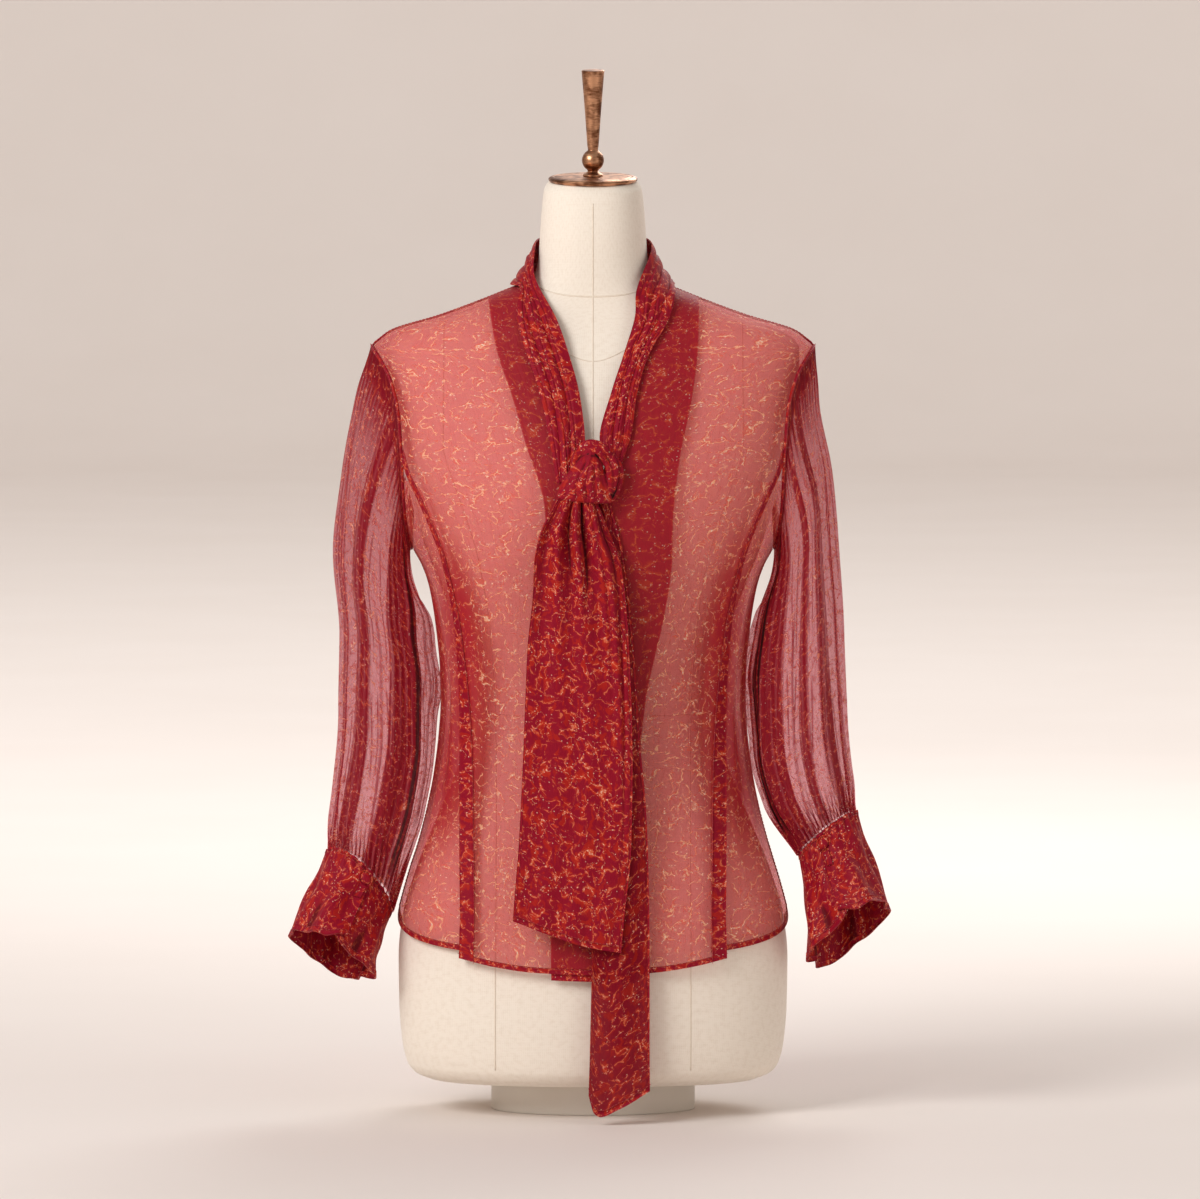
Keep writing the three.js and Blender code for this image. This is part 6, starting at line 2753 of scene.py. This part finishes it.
    def shade_gaps(self, piece: Piece) -> None:
        """Marks the knot's gaps, where layers of cloth shade each other."""
        mesh = piece.data
        count = len(mesh.vertices)
        flat = np.empty(3 * count)
        mesh.vertices.foreach_get("co", flat)
        points = flat.reshape(-1, 3) / MM
        edges = np.empty(2 * len(mesh.edges), dtype=np.int64)
        mesh.edges.foreach_get("vertices", edges)
        first, second = edges.reshape(-1, 2).T
        degree = np.bincount(edges, minlength=count)[:, None]
        smooth = points
        for _ in range(14):
            total = [
                np.bincount(first, smooth[second, k], count) + np.bincount(second, smooth[first, k], count)
                for k in range(3)
            ]
            smooth = np.stack(total, -1) / degree
        out = np.empty(3 * count)
        mesh.vertices.foreach_get("normal", out)
        depth = ((smooth - points) * out.reshape(-1, 3)).sum(axis=1)
        x, y, z = points.T
        below = (1 - smoothstep(z, 553, 560)) * smoothstep(y, -150, -143)
        notch = np.exp(-(((x + 0.5) / 5) ** 2) - ((z - 598.5) / 2.2) ** 2) * smoothstep(y, -150, -145)
        beside = np.exp(-(((x - 17) / 5) ** 2) - ((z - 566) / 7) ** 2) * smoothstep(y, -147, -140)
        layers = mesh.attributes.get("layers") or mesh.attributes.new("layers", "FLOAT", "POINT")
        dark = 1.9 * np.clip(below + notch + beside, 0, 1) + 1.5 * smoothstep(depth, 0.06, 0.4)
        layers.data.foreach_set("value", dark)

    def build(self) -> None:
        self.knot()
        self.neck()
        wide, long_end = self.wide_surface(), self.long_surface()
        self.end_piece("tie_end_wide", wide, 110, 150, self.finishes.doubled)
        self.end_piece("tie_end_long", long_end, 48, 170, self.finishes.long_end)
        log.info("tie collar: neck stretch, knot, wide end and long end")


# Studio


@dataclass
class Studio:
    """A plain pale floor, soft light from the upper left and a long-lens camera."""

    finishes: Finishes
    elevation: float = 4.0
    distance: float = 8.0
    view_width: float = 1080.0
    centre_x: float = 6.3
    centre_height: float = 460.35
    sensor: float = 36.0
    flat_radius: float = 10500.0
    bend_radius: float = 2500.0
    wall_height: float = 7500.0
    floor_sides: int = 96
    world_strength: float = 0.47

    def camera(self) -> None:
        """The camera, level with the form and a little above it."""
        data = bpy.data.cameras.new("camera")
        data.sensor_width = self.sensor
        data.lens = self.sensor * self.distance / (self.view_width * MM)
        data.clip_start, data.clip_end = 0.1, 60.0
        camera = bpy.data.objects.new("camera", data)
        bpy.context.scene.collection.objects.link(camera)
        up = math.radians(self.elevation)
        target = (self.centre_x * MM, 0.0, self.centre_height * MM / math.cos(up))
        camera.location = (
            target[0],
            target[1] - self.distance * math.cos(up),
            target[2] + self.distance * math.sin(up),
        )
        camera.rotation_euler = (math.pi / 2 - up, 0.0, 0.0)
        bpy.context.scene.camera = camera

    def light(
        self,
        name: str,
        place: tuple[float, float, float],
        size: float,
        power: float,
        target: tuple[float, float, float] = (0.0, 0.0, 0.45),
    ) -> None:
        """One soft square light.

        Args:
            name: The light's name.
            place: Where it stands, in metres.
            size: Its side, in metres.
            power: Its power, in watts.
            target: What it points at, in metres.
        """
        data = bpy.data.lights.new(name, "AREA")
        data.shape = "SQUARE"
        data.size = size
        data.energy = power
        lamp = bpy.data.objects.new(name, data)
        bpy.context.scene.collection.objects.link(lamp)
        lamp.location = place
        away = np.array(target) - np.array(place)
        lamp.rotation_mode = "XYZ"
        flat = math.hypot(away[0], away[1])
        lamp.rotation_euler = (math.atan2(flat, -away[2]), 0.0, math.atan2(away[1], away[0]) - math.pi / 2)

    def floor(self) -> None:
        """A pale matt floor that curves up far off, all round."""
        material, tree = new_material("studio_floor_matt")
        tone = blend(tree, noise(tree, on_object(tree), 3.0), "#EFE6E0", "#EBE1DA")
        finish_material(material, surface_of(tree, tone, Roughness=0.9))
        rise = np.linspace(0, math.pi / 2, 24)
        bend = self.flat_radius + self.bend_radius * np.sin(rise)
        reach = np.concatenate([[0.0, 1500.0, 6000.0], bend, [self.flat_radius + self.bend_radius]])
        curve = self.bend_radius * (1 - np.cos(rise))
        height = np.concatenate([[0.0, 0.0, 0.0], curve, [self.wall_height]])
        turn = np.linspace(0, 2 * math.pi, self.floor_sides, endpoint=False)
        rings = [np.outer(reach, np.cos(turn)), np.outer(reach, np.sin(turn))]
        rings.append(np.outer(height, np.ones(self.floor_sides)))
        floor = Grid(np.stack(rings, -1), closed=True).facing_from([0, 0, -9e5])
        floor = floor.sheet("studio_floor", material)

    def build(self) -> None:
        """Builds the camera, lights, floor and surrounding light."""
        self.camera()
        self.light("key", (-2.3, -2.5, 2.4), 1.7, 93.0)
        self.light("fill", (2.6, -2.4, 1.2), 2.2, 13.0)
        self.light("rim", (0.8, 2.2, 2.2), 1.6, 30.0)
        self.light("backdrop", (0.0, 3.6, 5.5), 7.0, 330.0, (0.0, 10.5, 1.0))
        world = bpy.data.worlds.new("studio")
        world.use_nodes = True
        back = world.node_tree.nodes["Background"]
        back.inputs["Color"].default_value = linear("#FBF6F2")
        back.inputs["Strength"].default_value = self.world_strength
        bpy.context.scene.world = world
        self.floor()
        log.info("studio: camera, lights and floor")


def main() -> None:
    """Builds the object in order."""
    logging.basicConfig(level=logging.INFO, format="%(name)s: %(message)s")
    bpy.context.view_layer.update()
    bpy.context.scene.view_settings.view_transform = "Standard"
    finishes = Finishes()
    stitching = Stitching(finishes)
    DressForm(finishes).build()
    BlouseBody(finishes, stitching).build()
    sleeves = ((Side.RIGHT, RIGHT_SLEEVE, RIGHT_STACKS), (Side.LEFT, LEFT_SLEEVE, LEFT_STACKS))
    for side, table, stacks in sleeves:
        Sleeve(finishes, stitching, side, table, stacks).build()
    cuffs = ((Side.RIGHT, RIGHT_SLEEVE, RIGHT_CUFF, 40.0), (Side.LEFT, LEFT_SLEEVE, LEFT_CUFF, 100.0))
    for side, table, edge, flute_shift in cuffs:
        seam = {name: float(value) for name, value in ArmSections(table).at(1.0).items()}
        Cuff(finishes, stitching, side, seam, edge, flute_shift).build()
    TieCollar(finishes, stitching).build()
    stitching.build()
    Studio(finishes).build()
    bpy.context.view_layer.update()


if __name__ == "__main__":
    main()
